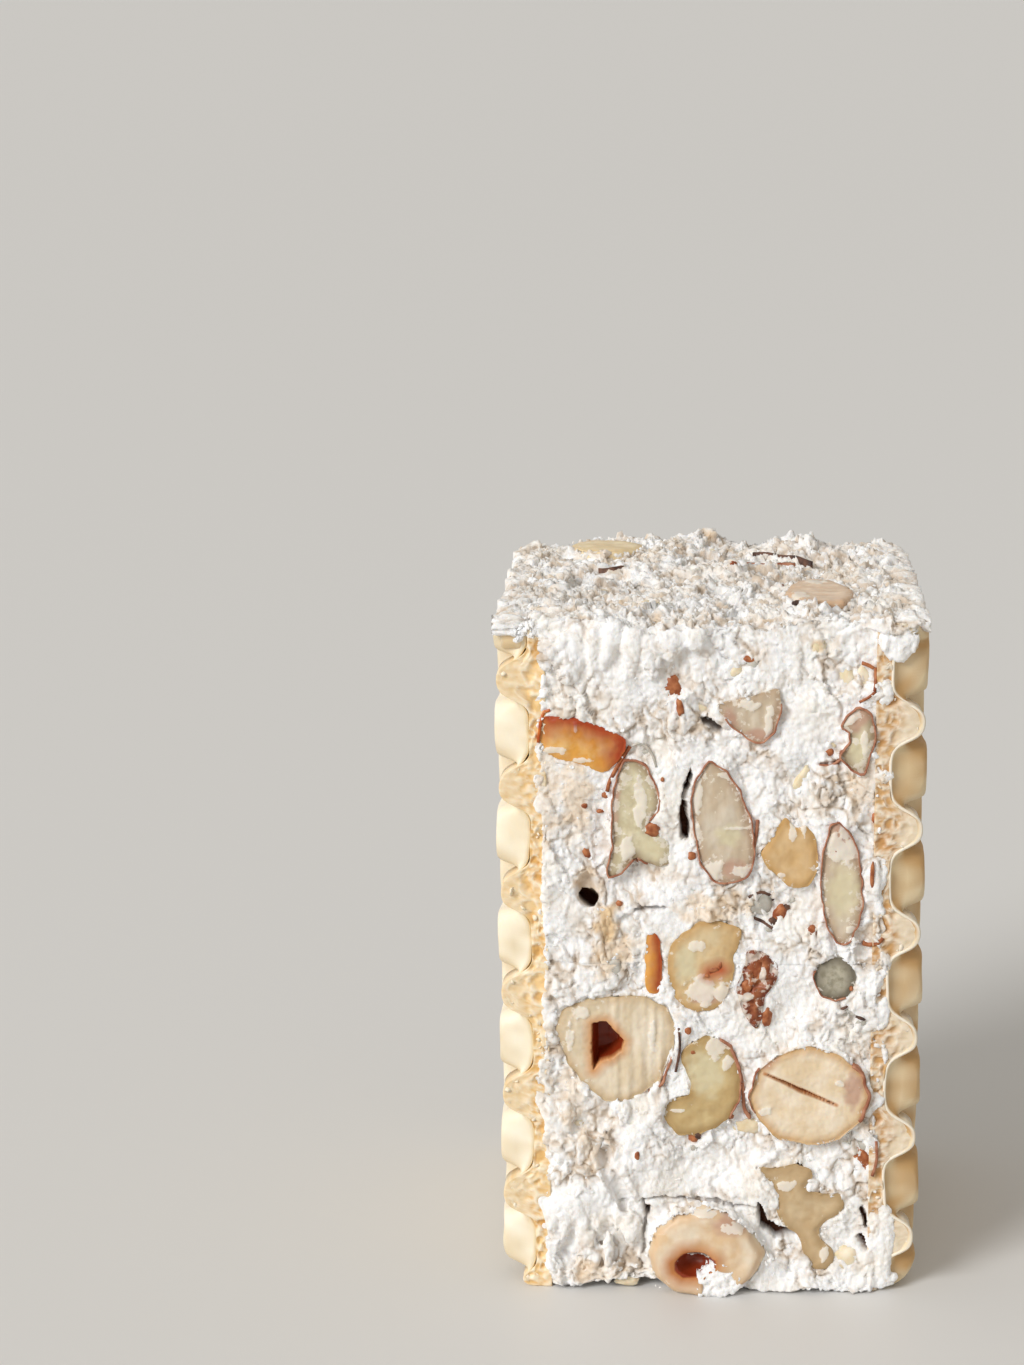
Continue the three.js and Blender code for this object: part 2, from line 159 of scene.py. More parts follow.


# %% [markdown]
# ## Nougat
#
# Nougat is whipped sugar syrup: tiny air bubbles scatter the light, so it looks almost pure white, with
# warm patches where honey or nut oil has soaked in. The flakes are real geometry. Each vertex also carries
# three attributes: `cleft_shade` for how deep it lies between flakes, `honey` for the soaked patches and
# `hole_shade` for the inside of holes. The shader turns them into a faint grey-brown painted shade between
# the flakes, a beige, and a dark brown painted shade inside the holes. The grain also paints a little shade
# into its own hollows, and the bump adds only the sugar grain, which is finer than the mesh.

# %% Nougat material
nougat_material, tree = new_material("whipped_nougat_crumb")
place = add(tree, "TexCoord").outputs["Object"]
cleft_shade = add(tree, "Attribute", attribute_name="cleft_shade").outputs["Fac"]
honey = add(tree, "Attribute", attribute_name="honey").outputs["Fac"]
hole_shade = add(tree, "Attribute", attribute_name="hole_shade").outputs["Fac"]
patches = add(tree, "TexNoise", {"Vector": place, "Scale": per_mm(6), "Detail": 3.0})
tint = add(tree, "ValToRGB", {"Fac": patches.outputs["Fac"]}, stops=[(0.34, "#FBF7F1"), (0.5, "#FEFEFE")])
drawn = add(tree, "Mapping", {"Vector": place, "Scale": (1, 1, 0.6)}).outputs[0]
grain = add(tree, "TexNoise", {"Vector": drawn, "Scale": per_mm(0.6), "Detail": 6.0, "Roughness": 0.72})
# Beige painted shade in the hollows of the sugar grain, the same grain that drives the bump.
grain_shade = add(tree, "MapRange", {"Value": grain.outputs["Fac"], "From Min": 0.47, "From Max": 0.36, "To Max": 0.34})
grain_shaded = add(tree, "Mix", {0: grain_shade.outputs[0], 6: tint.outputs[0], 7: "#DECCB6"}, data_type="RGBA")
# Grey-brown painted shade deep between the flakes.
shade = add(tree, "Mix", {0: cleft_shade, 6: grain_shaded.outputs[2], 7: "#D4C4B2"}, data_type="RGBA")
soaked = add(tree, "Mix", {0: honey, 6: shade.outputs[2], 7: "#E6C9A2"}, data_type="RGBA")
# Dark brown painted shade inside holes, slits and cracks.
hole_shaded = add(tree, "Mix", {0: hole_shade, 6: soaked.outputs[2], 7: "#43210F"}, data_type="RGBA")
bump = add(tree, "Bump", {"Height": grain.outputs["Fac"], "Strength": 0.8, "Distance": 0.24 * MM})
skin = add(tree, "BsdfPrincipled", {
    "Base Color": hole_shaded.outputs[2],
    "Roughness": 0.85,
    "IOR": 1.45,
    "Specular IOR Level": 0.3,
    "Subsurface Weight": 0.3,
    "Subsurface Radius": (1.0, 0.85, 0.7),
    "Subsurface Scale": 0.7 * MM,
    "Normal": bump.outputs["Normal"],
})
add(tree, "OutputMaterial", {"Surface": skin.outputs[0]})

# %% [markdown]
# ## Wafer
#
# The sheet is baked from flour and starch batter between hot plates. Its outside is a thin smooth skin of
# pale cream. Its inside is foam: oval bubbles with pale crumbly walls. The walls are painted pale as if lit,
# and the bubbles a deeper honey colour as painted shade and glow, so the foam mesh carries an attribute
# `bubble_shade` that is 0 on a wall and 1 in a bubble, and `crest` that fades the honey towards the paler
# outside. The skin carries `slope_shade`, painted shade on one slope of each square picked by which way it
# faces, and `sawn` for its pale cut edge. The right sheet stands in shade, so it has its own pair of
# materials: darker, warmer copies that paint that shade and the warm light through the sheet.

# %% Wafer materials


def wafer_skin_material(name, dark, light, slope_shade_colour, cut_edge):
    """The smooth baked outside of a sheet, with painted shade on one slope of each square and a pale sawn edge."""
    material, tree = new_material(name)
    place = add(tree, "TexCoord").outputs["Object"]
    slope_shade = add(tree, "Attribute", attribute_name="slope_shade").outputs["Fac"]
    sawn = add(tree, "Attribute", attribute_name="sawn").outputs["Fac"]
    baking = add(tree, "TexNoise", {"Vector": place, "Scale": per_mm(5), "Detail": 4.0})
    colour = add(tree, "ValToRGB", {"Fac": baking.outputs["Fac"]}, stops=[(0.3, dark), (0.7, light)])
    # Painted shade on one slope of each square, picked by which way the slope faces.
    baked = add(tree, "Mix", {0: slope_shade, 6: colour.outputs[0], 7: slope_shade_colour}, data_type="RGBA")
    edged = add(tree, "Mix", {0: sawn, 6: baked.outputs[2], 7: cut_edge}, data_type="RGBA")
    fine = add(tree, "TexNoise", {"Vector": place, "Scale": per_mm(0.5), "Detail": 3.0})
    bump = add(tree, "Bump", {"Height": fine.outputs["Fac"], "Strength": 0.15, "Distance": 0.1 * MM})
    skin = add(tree, "BsdfPrincipled", {
        "Base Color": edged.outputs[2],
        "Roughness": 0.6,
        "IOR": 1.45,
        "Subsurface Weight": 0.15,
        "Subsurface Radius": (1.0, 0.7, 0.4),
        "Subsurface Scale": 0.8 * MM,
        "Normal": bump.outputs["Normal"],
    })
    add(tree, "OutputMaterial", {"Surface": skin.outputs[0]})
    return material


def foam_material(name, deep, honey, glassy, film):
    """The crumb of a sheet: bubbles painted from deep to honey as shade and glow, glassy towards the outside, walls a
    pale film as if lit.
    """
    material, tree = new_material(name)
    place = add(tree, "TexCoord").outputs["Object"]
    hole = add(tree, "Attribute", attribute_name="bubble_shade").outputs["Fac"]
    crest = add(tree, "Attribute", attribute_name="crest").outputs["Fac"]
    cells = add(tree, "TexNoise", {"Vector": place, "Scale": per_mm(3.0), "Detail": 4.0})
    amber = add(tree, "ValToRGB", {"Fac": cells.outputs["Fac"]}, stops=[(0.38, deep), (0.62, honey)])
    bubble = add(tree, "Mix", {0: crest, 6: amber.outputs[0], 7: glassy}, data_type="RGBA")
    # Walls painted pale as lit; bubbles painted a deeper honey for the shade and glow inside them.
    wall = add(tree, "Mix", {0: hole, 6: film, 7: bubble.outputs[2]}, data_type="RGBA")
    crumb = add(tree, "BsdfPrincipled", {
        "Base Color": wall.outputs[2],
        "Roughness": 0.4,
        "IOR": 1.45,
        "Subsurface Weight": 0.12,
        "Subsurface Radius": (1.0, 0.6, 0.3),
        "Subsurface Scale": 0.8 * MM,
    })
    add(tree, "OutputMaterial", {"Surface": crumb.outputs[0]})
    return material


# The right sheet stands in shade, so its skin and crumb are darker, warmer copies of the left pair: painted shade and
# warm light through the sheet.
PALE_SKIN = wafer_skin_material("pale_wafer_skin", "#F6E7CB", "#FBF0DC", "#E4D2B2", "#F3E0BC")
SHADED_SIDE_SKIN = wafer_skin_material("wafer_skin_painted_shade", "#E2CBA2", "#EAD6B4", "#C79F6A", "#F2E6D2")
PALE_FOAM = foam_material("pale_wafer_crumb", "#E2B26A", "#EECB92", "#E4C490", "#F8E8CC")
SHADED_SIDE_FOAM = foam_material("wafer_crumb_painted_shade", "#BE8C54", "#CFA670", "#D8C4A4", "#EDDFCA")

# %% [markdown]
# ## Nut flesh
#
# A cut nut is waxy and slightly translucent. Near its edge the flesh is darker, the middle is creamier, and
# smears of nougat cling to it as a white film. Each nut mesh carries attributes that are measured when it is
# made: `rim`, the distance to its outline, `core`, the distance to its hollow or slit, both in millimetres,
# `film`, above 0 where nougat sticks to it, and `fresh` and `rosy` for the pale yellow and the pinkish parts.
# The pattern then follows every uneven outline, which plain coordinates could not do.

# %% Nut and peel materials


def flesh(name, edge, middle, pale, grain_mm, streak=(1, 1, 1), film_from=0.62, edge_mm=1.2, halo="#CD7C3E"):
    """Waxy cut flesh: edge colour at the rim, middle and pale patches, a white film, an orange-brown core."""
    material, tree = new_material(name)
    place = add(tree, "TexCoord").outputs["Object"]
    rim = add(tree, "Attribute", attribute_name="rim").outputs["Fac"]
    core = add(tree, "Attribute", attribute_name="core").outputs["Fac"]
    film = add(tree, "Attribute", attribute_name="film").outputs["Fac"]
    fresh = add(tree, "Attribute", attribute_name="fresh").outputs["Fac"]
    rosy = add(tree, "Attribute", attribute_name="rosy").outputs["Fac"]
    drawn = add(tree, "Mapping", {"Vector": place, "Scale": streak}).outputs[0]
    patches = add(tree, "TexNoise", {"Vector": drawn, "Scale": per_mm(grain_mm), "Detail": 5.0})
    body = add(tree, "ValToRGB", {"Fac": patches.outputs["Fac"]}, stops=[(0.38, middle), (0.62, pale)])
    wander = add(tree, "Math", {0: patches.outputs["Fac"], 1: 1.2}, operation="MULTIPLY")
    reach = add(tree, "Math", {0: rim, 1: wander.outputs[0]}, operation="SUBTRACT")
    blend = add(tree, "MapRange", {"Value": reach.outputs[0], "From Min": -0.6, "From Max": edge_mm - 0.6})
    edged = add(tree, "Mix", {0: blend.outputs[0], 6: edge, 7: body.outputs[0]}, data_type="RGBA")
    ripe = add(tree, "Mix", {0: fresh, 6: edged.outputs[2], 7: "#D8CDAA"}, data_type="RGBA")
    blushed = add(tree, "Mix", {0: rosy, 6: ripe.outputs[2], 7: "#BC9480"}, data_type="RGBA")
    smear = add(tree, "TexNoise", {"Vector": place, "Scale": per_mm(1.6), "Detail": 6.0, "Roughness": 0.65})
    near = add(tree, "MapRange", {"Value": rim, "From Min": 0.0, "From Max": 1.6, "To Min": 0.12, "To Max": 0.0})
    likely = add(tree, "Math", {0: smear.outputs["Fac"], 1: near.outputs[0]}, operation="ADD")
    speckled = add(tree, "MapRange", {"Value": likely.outputs[0], "From Min": film_from,
                                      "From Max": film_from + 0.03, "To Max": 0.6})
    flecks = add(tree, "TexNoise", {"Vector": place, "Scale": per_mm(0.8), "Detail": 5.0, "Roughness": 0.7})
    centred = add(tree, "Math", {0: flecks.outputs["Fac"], 1: 0.5}, operation="SUBTRACT")
    ragged = add(tree, "Math", {0: centred.outputs[0], 1: 1.2, 2: film}, operation="MULTIPLY_ADD")
    painted = add(tree, "MapRange", {"Value": ragged.outputs[0], "From Min": 0.0, "From Max": 0.12, "To Max": 0.8})
    filmed = add(tree, "Math", {0: speckled.outputs[0], 1: painted.outputs[0]}, operation="MAXIMUM")
    whitened = add(tree, "Mix", {0: filmed.outputs[0], 6: blushed.outputs[2], 7: "#EBE3D6"}, data_type="RGBA")
    halo_reach = add(tree, "Math", {0: core, 1: wander.outputs[0]}, operation="SUBTRACT")
    ring = add(tree, "MapRange", {"Value": halo_reach.outputs[0], "From Min": -0.6, "From Max": 0.9,
                                  "To Min": 0.95, "To Max": 0.0})
    haloed = add(tree, "Mix", {0: ring.outputs[0], 6: whitened.outputs[2], 7: halo}, data_type="RGBA")
    dark = add(tree, "MapRange", {"Value": core, "From Min": -0.14, "From Max": 0.04, "To Min": 1.0, "To Max": 0.0})
    holed = add(tree, "Mix", {0: dark.outputs[0], 6: haloed.outputs[2], 7: "#8A3212"}, data_type="RGBA")
    bump = add(tree, "Bump", {"Height": patches.outputs["Fac"], "Strength": 0.35, "Distance": 0.2 * MM})
    wax = add(tree, "BsdfPrincipled", {
        "Base Color": holed.outputs[2],
        "Roughness": 0.42,
        "IOR": 1.46,
        "Subsurface Weight": 0.25,
        "Subsurface Radius": (1.0, 0.7, 0.4),
        "Subsurface Scale": 0.9 * MM,
        "Normal": bump.outputs["Normal"],
    })
    add(tree, "OutputMaterial", {"Surface": wax.outputs[0]})
    return material


FLESH = {
    "hazelnut": flesh("hazelnut_flesh", "#C9AF8A", "#D8C6A8", "#E7DAC4", 2.0, streak=(1, 1, 0.4), film_from=0.7,
                      halo="#CF9258"),
    "blanched": flesh("blanched_hazelnut_flesh", "#CFA878", "#E2CCAA", "#EEDFC8", 3.2, film_from=0.72, halo="#B97840"),
    "golden": flesh("toasted_hazelnut_flesh", "#C29C66", "#CDAE7E", "#D8C29A", 2.4, film_from=0.7, halo="#B4501E"),
    "foot": flesh("ripe_hazelnut_flesh", "#CDA476", "#DCBE98", "#E8D8C0", 3.0, film_from=0.72, halo="#BC7434"),
    "amber": flesh("syrupy_hazelnut_flesh", "#C39A60", "#D0AB76", "#DCBE92", 3.0, film_from=0.7),
    "almond": flesh("almond_flesh", "#B49B80", "#C5B298", "#D5C8B4", 1.6, streak=(1, 1, 0.35), film_from=0.62),
    "grey": flesh("soaked_almond_flesh", "#6E6656", "#8F8874", "#B9B29F", 0.8, film_from=0.7),
    "walnut": flesh("walnut_flesh", "#AB8C5A", "#BFA26F", "#CCB585", 2.6, film_from=0.7),
    "translucent": flesh("translucent_walnut_flesh", "#B0936A", "#C2A67E", "#D0B994", 2.2, film_from=0.72),
    "bruised": flesh("bruised_walnut_flesh", "#74351A", "#904824", "#B4744A", 1.0, film_from=0.6),
    "pale": flesh("fresh_walnut_flesh", "#A39073", "#C8BC9A", "#DCD2B4", 1.1, film_from=0.6),
    "peel": flesh("candied_orange_peel", "#DDA050", "#DC9E44", "#EBC484", 1.8, film_from=0.72, halo="#A63608"),
    "striped": flesh("striped_almond_flesh", "#DCC092", "#E4CDA2", "#EEDCBA", 1.4, streak=(0.3, 1, 1), film_from=0.7),
    "skinned": flesh("skinned_almond_flesh", "#D0AC8A", "#DABDA0", "#E6D0B8", 1.4, streak=(0.3, 1, 1), film_from=0.7),
}


def coloured(name, dark, light, grain_mm, roughness, glow=0.0):
    """A plain organic surface whose colour wanders between dark and light."""
    material, tree = new_material(name)
    place = add(tree, "TexCoord").outputs["Object"]
    patches = add(tree, "TexNoise", {"Vector": place, "Scale": per_mm(grain_mm), "Detail": 4.0})
    colour = add(tree, "ValToRGB", {"Fac": patches.outputs["Fac"]}, stops=[(0.35, dark), (0.65, light)])
    bump = add(tree, "Bump", {"Height": patches.outputs["Fac"], "Strength": 0.3, "Distance": 0.15 * MM})
    surface = add(tree, "BsdfPrincipled", {
        "Base Color": colour.outputs[0],
        "Roughness": roughness,
        "IOR": 1.45,
        "Subsurface Weight": glow,
        "Subsurface Radius": (1.0, 0.6, 0.4),
        "Subsurface Scale": 0.8 * MM,
        "Normal": bump.outputs["Normal"],
    })
    add(tree, "OutputMaterial", {"Surface": surface.outputs[0]})
    return material


SKIN = coloured("nut_skin", "#8E5238", "#BC8668", 1.2, 0.6)
BROWN = coloured("brown_skin_crumb", "#86421F", "#B87448", 0.8, 0.5)
DARK = coloured("dark_skin_fold", "#3A2620", "#74503E", 1.0, 0.6)
CREAM = coloured("nut_crumb", "#E0CDA8", "#EFE2CA", 1.4, 0.5, glow=0.3)
GREY = coloured("syrup_soaked_crumb", "#A9A49A", "#CBC6BC", 1.2, 0.4, glow=0.3)
RIND = coloured("orange_rind", "#B04A12", "#D2742C", 0.9, 0.35, glow=0.2)

# %% [markdown]
# ## Mesh helpers
#
# A voxel remesh turns a few flat facets into many small even ones, a few rounds of smoothing take the
# corners off, and then vertices are moved by noise or by the distance to a named line. That is close to
# sculpting, and it suits torn and broken food better than clean extrusions would.

# %% Helpers for meshes


def solid_copy(node):
    """The solid's mesh as one connected bmesh, in metres."""
    bm = bmesh.new()
    bm.from_mesh(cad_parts[node].data)
    bmesh.ops.remove_doubles(bm, verts=bm.verts, dist=1e-6)
    return bm


def pour(bm, target):
    """Adds one bmesh to another and empties the first."""
    mesh = bpy.data.meshes.new("pour")
    bm.to_mesh(mesh)
    bm.free()
    target.from_mesh(mesh)
    bpy.data.meshes.remove(mesh)


def evaluated(bm, kind, **settings):
    """Runs one modifier on a bmesh and gives the result as a new bmesh."""
    mesh = bpy.data.meshes.new("work")
    bm.to_mesh(mesh)
    bm.free()
    worker = bpy.data.objects.new("work", mesh)
    bpy.context.scene.collection.objects.link(worker)
    modifier = worker.modifiers.new("work", kind)
    for key, value in settings.items():
        setattr(modifier, key, value)
    bpy.context.view_layer.update()
    result = bmesh.new()
    result.from_object(worker, bpy.context.evaluated_depsgraph_get())
    bpy.data.objects.remove(worker)
    bpy.data.meshes.remove(mesh)
    return result


def relaxed(bm, rounds):
    """Moves every vertex towards its neighbours."""
    for _ in range(rounds):
        bmesh.ops.smooth_vert(bm, verts=bm.verts, factor=0.5, use_axis_x=True, use_axis_y=True, use_axis_z=True)


def finish_piece(name, bm, material, nodes=(), smooth=True):
    """Turns a bmesh into a named piece that rides with the bar, and keeps it inside the bar's box."""
    for v in bm.verts:
        for axis in range(3):
            v.co[axis] = min(max(v.co[axis], LOW[axis] * MM), HIGH[axis] * MM)
    for f in bm.faces:
        f.smooth = smooth
    mesh = bpy.data.meshes.new(name)
    bm.to_mesh(mesh)
    bm.free()
    mesh.materials.append(material)
    piece = bpy.data.objects.new(name, mesh)
    bpy.context.scene.collection.objects.link(piece)
    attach(piece, "root")
    if nodes:
        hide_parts(*nodes)
    print(name, "triangles:", sum(len(p.vertices) - 2 for p in mesh.polygons))
    return piece


# %% [markdown]
# ## Lines and areas on a face
#
# Slits, hollows and cracks are named by a few points on the face, in millimetres. One function tells how
# far a point is inside such a mark: half the width minus the distance for a line, and the distance to the
# edge for an area.

# %% How far inside a mark a point is


def distance_to(point, line):
    """Distance from a point to a polyline, all in the plane of the face."""
    best = 1e9
    for a, b in zip(line, line[1:]):
        start = Vector(a)
        along = Vector(b) - start
        share = min(max((point - start).dot(along) / along.length_squared, 0), 1)
        best = min(best, (start + share * along - point).length)
    return best


def inside(point, area):
    """True where a point lies inside a closed outline."""
    hit = False
    for (ax, ay), (bx, by) in zip(area, area[1:] + area[:1]):
        if (ay > point.y) != (by > point.y) and point.x < (bx - ax) * (point.y - ay) / (by - ay) + ax:
            hit = not hit
    return hit


def within(point, mark):
    """Millimetres inside a mark, below 0 outside it."""
    if "line" in mark:
        return mark["wide"] - distance_to(point, mark["line"])
    edge = distance_to(point, mark["area"] + mark["area"][:1])
    return edge if inside(point, mark["area"]) else -edge


# %% [markdown]
# ## Outlines of the cut nuts
#
# A saw leaves a nut as a flat face with a crisp outline, and the rest of the kernel is buried. So a nut is
# best rebuilt from its outline: the solid is sliced where it meets the nougat, and the corners of the slice
# are cut off three times over, which turns a rough polygon into a smooth curve. Peel is cut with a knife,
# so its corners are cut off only once.

# %% Read an outline from a solid


def outline(node, face):
    """The closed outline of a piece where it leaves the nougat, on the level of its flat, in millimetres."""
    out = OUT[face]
    bm = solid_copy(node)
    flat = max(v.co.dot(out) for v in bm.verts) / MM
    below = max(0.4, flat - LEVEL[face])
    cut = bmesh.ops.bisect_plane(bm, geom=bm.verts[:] + bm.edges[:] + bm.faces[:], dist=1e-7,
                                 plane_co=out * (flat - below) * MM, plane_no=out, clear_outer=True)
    edges = {g for g in cut["geom_cut"] if isinstance(g, bmesh.types.BMEdge)}
    loops = []
    while edges:
        edge = edges.pop()
        start, here = edge.verts
        loop = [start.co.copy()]
        while here != start:
            loop.append(here.co.copy())
            edge = next((e for e in here.link_edges if e in edges), None)
            if edge is None:
                break
            edges.discard(edge)
            here = edge.other_vert(here)
        loops.append(loop)
    bm.free()
    loop = [p / MM + out * below for p in max(loops, key=len)]
    for _ in range(1 if node.startswith("peel") else 3):
        loop = [q for a, b in zip(loop, loop[1:] + loop[:1]) for q in (a.lerp(b, 0.25), a.lerp(b, 0.75))]
    turning = sum((a.cross(b) for a, b in zip(loop, loop[1:] + loop[:1])), Vector()).dot(out)
    return spaced(loop if turning > 0 else loop[::-1], 0.3)


def spaced(loop, step):
    """The same closed loop with its points an even step apart."""
    points = []
    left = 0.0
    for a, b in zip(loop, loop[1:] + loop[:1]):
        length = (b - a).length
        while left < length:
            points.append(a.lerp(b, left / length))
            left += step
        left -= length
    return points


def outward(loop, out):
    """For each point of a loop, the direction that leads away from its inside."""
    count = len(loop)
    return [(loop[(i + 1) % count] - loop[i - 1]).cross(out).normalized() for i in range(count)]


# %% List of the nuts
# Each row is the node, the face that it was cut on, its flesh and its slot.
NUTS = [
    ("hazelnut_hollow", "front", "hazelnut", "hazelnut"),
    ("hazelnut_slit", "front", "blanched", "hazelnut"),
    ("hazelnut_foot", "front", "foot", "hazelnut"),
    ("hazelnut_gold", "front", "golden", "hazelnut"),
    ("hazelnut_amber", "front", "amber", "hazelnut"),
    ("hazelnut_back_high", "back", "hazelnut", "hazelnut"),
    ("hazelnut_back_middle", "back", "hazelnut", "hazelnut"),
    ("hazelnut_back_low", "back", "golden", "hazelnut"),
    ("hazelnut_under", "under", "hazelnut", "hazelnut"),
    ("almond_middle", "front", "almond", "almond"),
    ("almond_right", "front", "almond", "almond"),
    ("almond_corner", "front", "almond", "almond"),
    ("almond_grey", "front", "grey", "almond"),
    ("almond_top_front", "top", "skinned", "almond"),
    ("almond_top_back", "top", "striped", "almond"),
    ("almond_back_high", "back", "almond", "almond"),
    ("almond_back_middle", "back", "almond", "almond"),
    ("almond_back_shard", "back", "almond", "almond"),
    ("almond_under", "under", "almond", "almond"),
    ("walnut_tall", "front", "pale", "walnut"),
    ("walnut_right", "front", "pale", "walnut"),
    ("walnut_lower", "front", "walnut", "walnut"),
    ("walnut_foot", "front", "translucent", "walnut"),
    ("walnut_crumbled", "front", "bruised", "walnut"),
    ("walnut_back_curl", "back", "walnut", "walnut"),
    ("walnut_back_hook", "back", "walnut", "walnut"),
    ("walnut_under", "under", "walnut", "walnut"),
    ("peel_large", "front", "peel", "peel"),
    ("peel_strip", "front", "peel", "peel"),
    ("peel_back", "back", "peel", "peel"),
]
RIMS = {node: outline(node, face) for node, face, _, _ in NUTS}
for p in RIMS["peel_large"]:
    p.x -= 0.8 * min(max(-16.5 - p.x, 0), 1)

rim_places = {}
for face in OUT:
    loops = [RIMS[node] for node, own, _, _ in NUTS if own == face]
    places = [pair for loop in loops for pair in zip(loop, outward(loop, OUT[face]))]
    tree = KDTree(len(places))
    for i, (p, _) in enumerate(places):
        tree.insert(p - OUT[face] * (p.dot(OUT[face]) - LEVEL[face]), i)
    tree.balance()
    rim_places[face] = (tree, places)
    print(face, "nuts:", len(loops), "outline points:", len(places))


def inside_nut(p, face):
    """Millimetres inside the nearest nut outline of a face, below 0 outside."""
    tree, places = rim_places[face]
    out = OUT[face]
    level = p - out * (p.dot(out) - LEVEL[face])
    _, index, far = tree.find(level)
    q, away = places[index]
    return far if (level - q).dot(away) < 0 else -far


# %% [markdown]
# ## The wafers' pattern
#
# The plates of a wafer iron press raised and sunk squares in turn, like an egg box. One formula gives how far
# a sheet stands out at any place. It is needed first, because nougat is smeared over the ends of the sheets.

# %% The pressed pattern
THICK = WAFER_HIGH.x - WAFER_LOW.x
CELL = 6.6
SHELL = 0.32
INNER = box_mm("wafer_right")[0].x
FIRST_ROW = FRONT - 2.3
# Per sheet, the number that sets its painted shade: below 0 it falls on slopes facing down, above 0 on slopes facing
# up.
WAFERS = {
    "wafer_left": {"side": -1, "crest": 12.4, "floor": 1.5, "crush": 0.2, "round": 5.5, "bubbles": 0.9, "crumbs": 90, "edge": 0.05, "tuck": 0.4,
                   "shade_facing": -0.8, "skin": PALE_SKIN, "foam": PALE_FOAM},
    "wafer_right": {"side": 1, "crest": 7.4, "floor": 1.5, "crush": 0.3, "round": 5.0, "bubbles": 0.7, "crumbs": 60, "edge": SHELL, "tuck": 0.0,
                    "shade_facing": 0.9, "skin": SHADED_SIDE_SKIN, "foam": SHADED_SIDE_FOAM},
}


def stands_out(y, z, wafer):
    """Distance from the sheet's inner face to its outside, in millimetres."""
    wave = math.cos(math.pi * (y - FIRST_ROW) / CELL) * math.cos(math.pi * (z - wafer["crest"]) / CELL)
    near_cut = max(0, 1 - (y - FRONT) / 3)
    near_top = max(0, 1 - (TOP - z) / 3)
    narrow = -0.25 + 0.45 * near_cut - 1.3 * near_top * (1 - near_cut)
    relief = (THICK - wafer["floor"]) * (0.5 + 0.5 * math.tanh(5 * (wave - narrow)))
    relief -= wafer["crush"] * near_cut * relief / THICK
    worn = math.sqrt(1 - max(0, 1 - z / wafer["round"]) ** 2)
    shoulder = math.sqrt(1 - max(0, 1 - (TOP - z) / 2.5) ** 2)
    uneven = 0.25 * noise.noise(Vector((wafer["side"] * 9, y / 5, z / 5)))
    out = (wafer["floor"] + relief + uneven) * (0.3 + 0.7 * worn) * (0.6 + 0.4 * shoulder)
    return min(max(out, 0.6), THICK)


# %% [markdown]
# ## The nougat block
#
# The saw leaves smeared flats, torn crumb, and the odd hole, slit or crack. The block starts as the nougat
# solid with its nut sockets filled up, so that nougat can close round any outline. Torn nougat breaks into
# flakes that stand at different levels with narrow clefts between them, and cell noise is just that: each
# cell gets a level of its own, and the distance to the next cell draws the cleft. Named lines are pressed in
# for the hole and the cracks, and a well is sunk wherever a nut sits. The wells have a wandering edge, so
# the nougat laps over a nut in one place and draws back in another.

# %% Marks pressed into the front


def oval(middle, half):
    """The outline of an oval hole as twelve points."""
    turns = [math.radians(30 * i) for i in range(12)]
    return [(middle[0] + half[0] * math.cos(t), middle[1] + half[1] * math.sin(t)) for t in turns]


# Each mark: its outline or line, its width, how deep it is pressed in, and how strongly its inside is painted dark
# brown as shade.
CUTS = [
    {"area": oval((-14.8, 52.3), (1.45, 2.1)), "wide": 1.3, "deep": 1.6, "hole_shade": 0.1},
    {"area": oval((-14.6, 51.3), (1.1, 1.0)), "wide": 0.7, "deep": 3.2, "hole_shade": 1.0},
    {"area": [(-1.3, 74.1), (-0.2, 73.9), (1.6, 72.5), (1.3, 71.8), (0.3, 72.3), (-0.8, 73.2)], "wide": 0.5,
     "deep": 1.6, "hole_shade": 0.8},
    {"area": [(-2.3, 67.9), (-2.0, 66.7), (-2.4, 63.5), (-2.3, 61.1), (-2.5, 58.7), (-3.6, 59.0), (-3.8, 61.8),
              (-3.5, 63.5), (-3.2, 65.6)], "wide": 0.35, "deep": 2.2, "hole_shade": 1.0},
    {"area": [(6.0, 12.2), (6.8, 10.9), (7.3, 9.3), (8.6, 8.5), (10.2, 8.4), (11.3, 7.3), (8.3, 6.9), (6.5, 8.2),
              (6.0, 10.2)], "wide": 0.35, "deep": 2.0, "hole_shade": 1.0},
    {"line": [(-8.3, 11.9), (-6.2, 12.2), (-2.7, 11.9), (0.4, 12.0), (3.4, 11.2), (6.3, 11.0)], "wide": 0.22,
     "deep": 0.9, "hole_shade": 0.4},
    {"line": [(-8.3, 11.9), (-7.7, 10.3), (-8.3, 7.4), (-8.4, 4.4)], "wide": 0.22, "deep": 0.8, "hole_shade": 0.4},
    {"line": [(-7.6, 10.9), (-7.7, 10.1)], "wide": 0.4, "deep": 1.2, "hole_shade": 1.0},
    {"line": [(18.8, 10.9), (19.2, 9.4), (19.1, 8.6)], "wide": 0.3, "deep": 1.4, "hole_shade": 1.0},
    {"line": [(18.6, 7.2), (19.1, 5.8)], "wide": 0.35, "deep": 1.4, "hole_shade": 1.0},
    {"line": [(-9.0, 49.8), (-7.2, 50.0), (-5.6, 50.1)], "wide": 0.3, "deep": 0.9, "hole_shade": 0.4},
    {"line": [(13.1, 68.2), (15.2, 68.4), (16.2, 69.5)], "wide": 0.25, "deep": 0.7, "hole_shade": 0.3},
    {"line": [(-11.5, 27.2), (-10.9, 25.4)], "wide": 0.25, "deep": 0.9, "hole_shade": 0.5},
    {"line": [(-13.4, 19.5), (-12.2, 15.0), (-10.0, 11.2)], "wide": 1.1, "deep": 1.1, "hole_shade": 0.06},
]
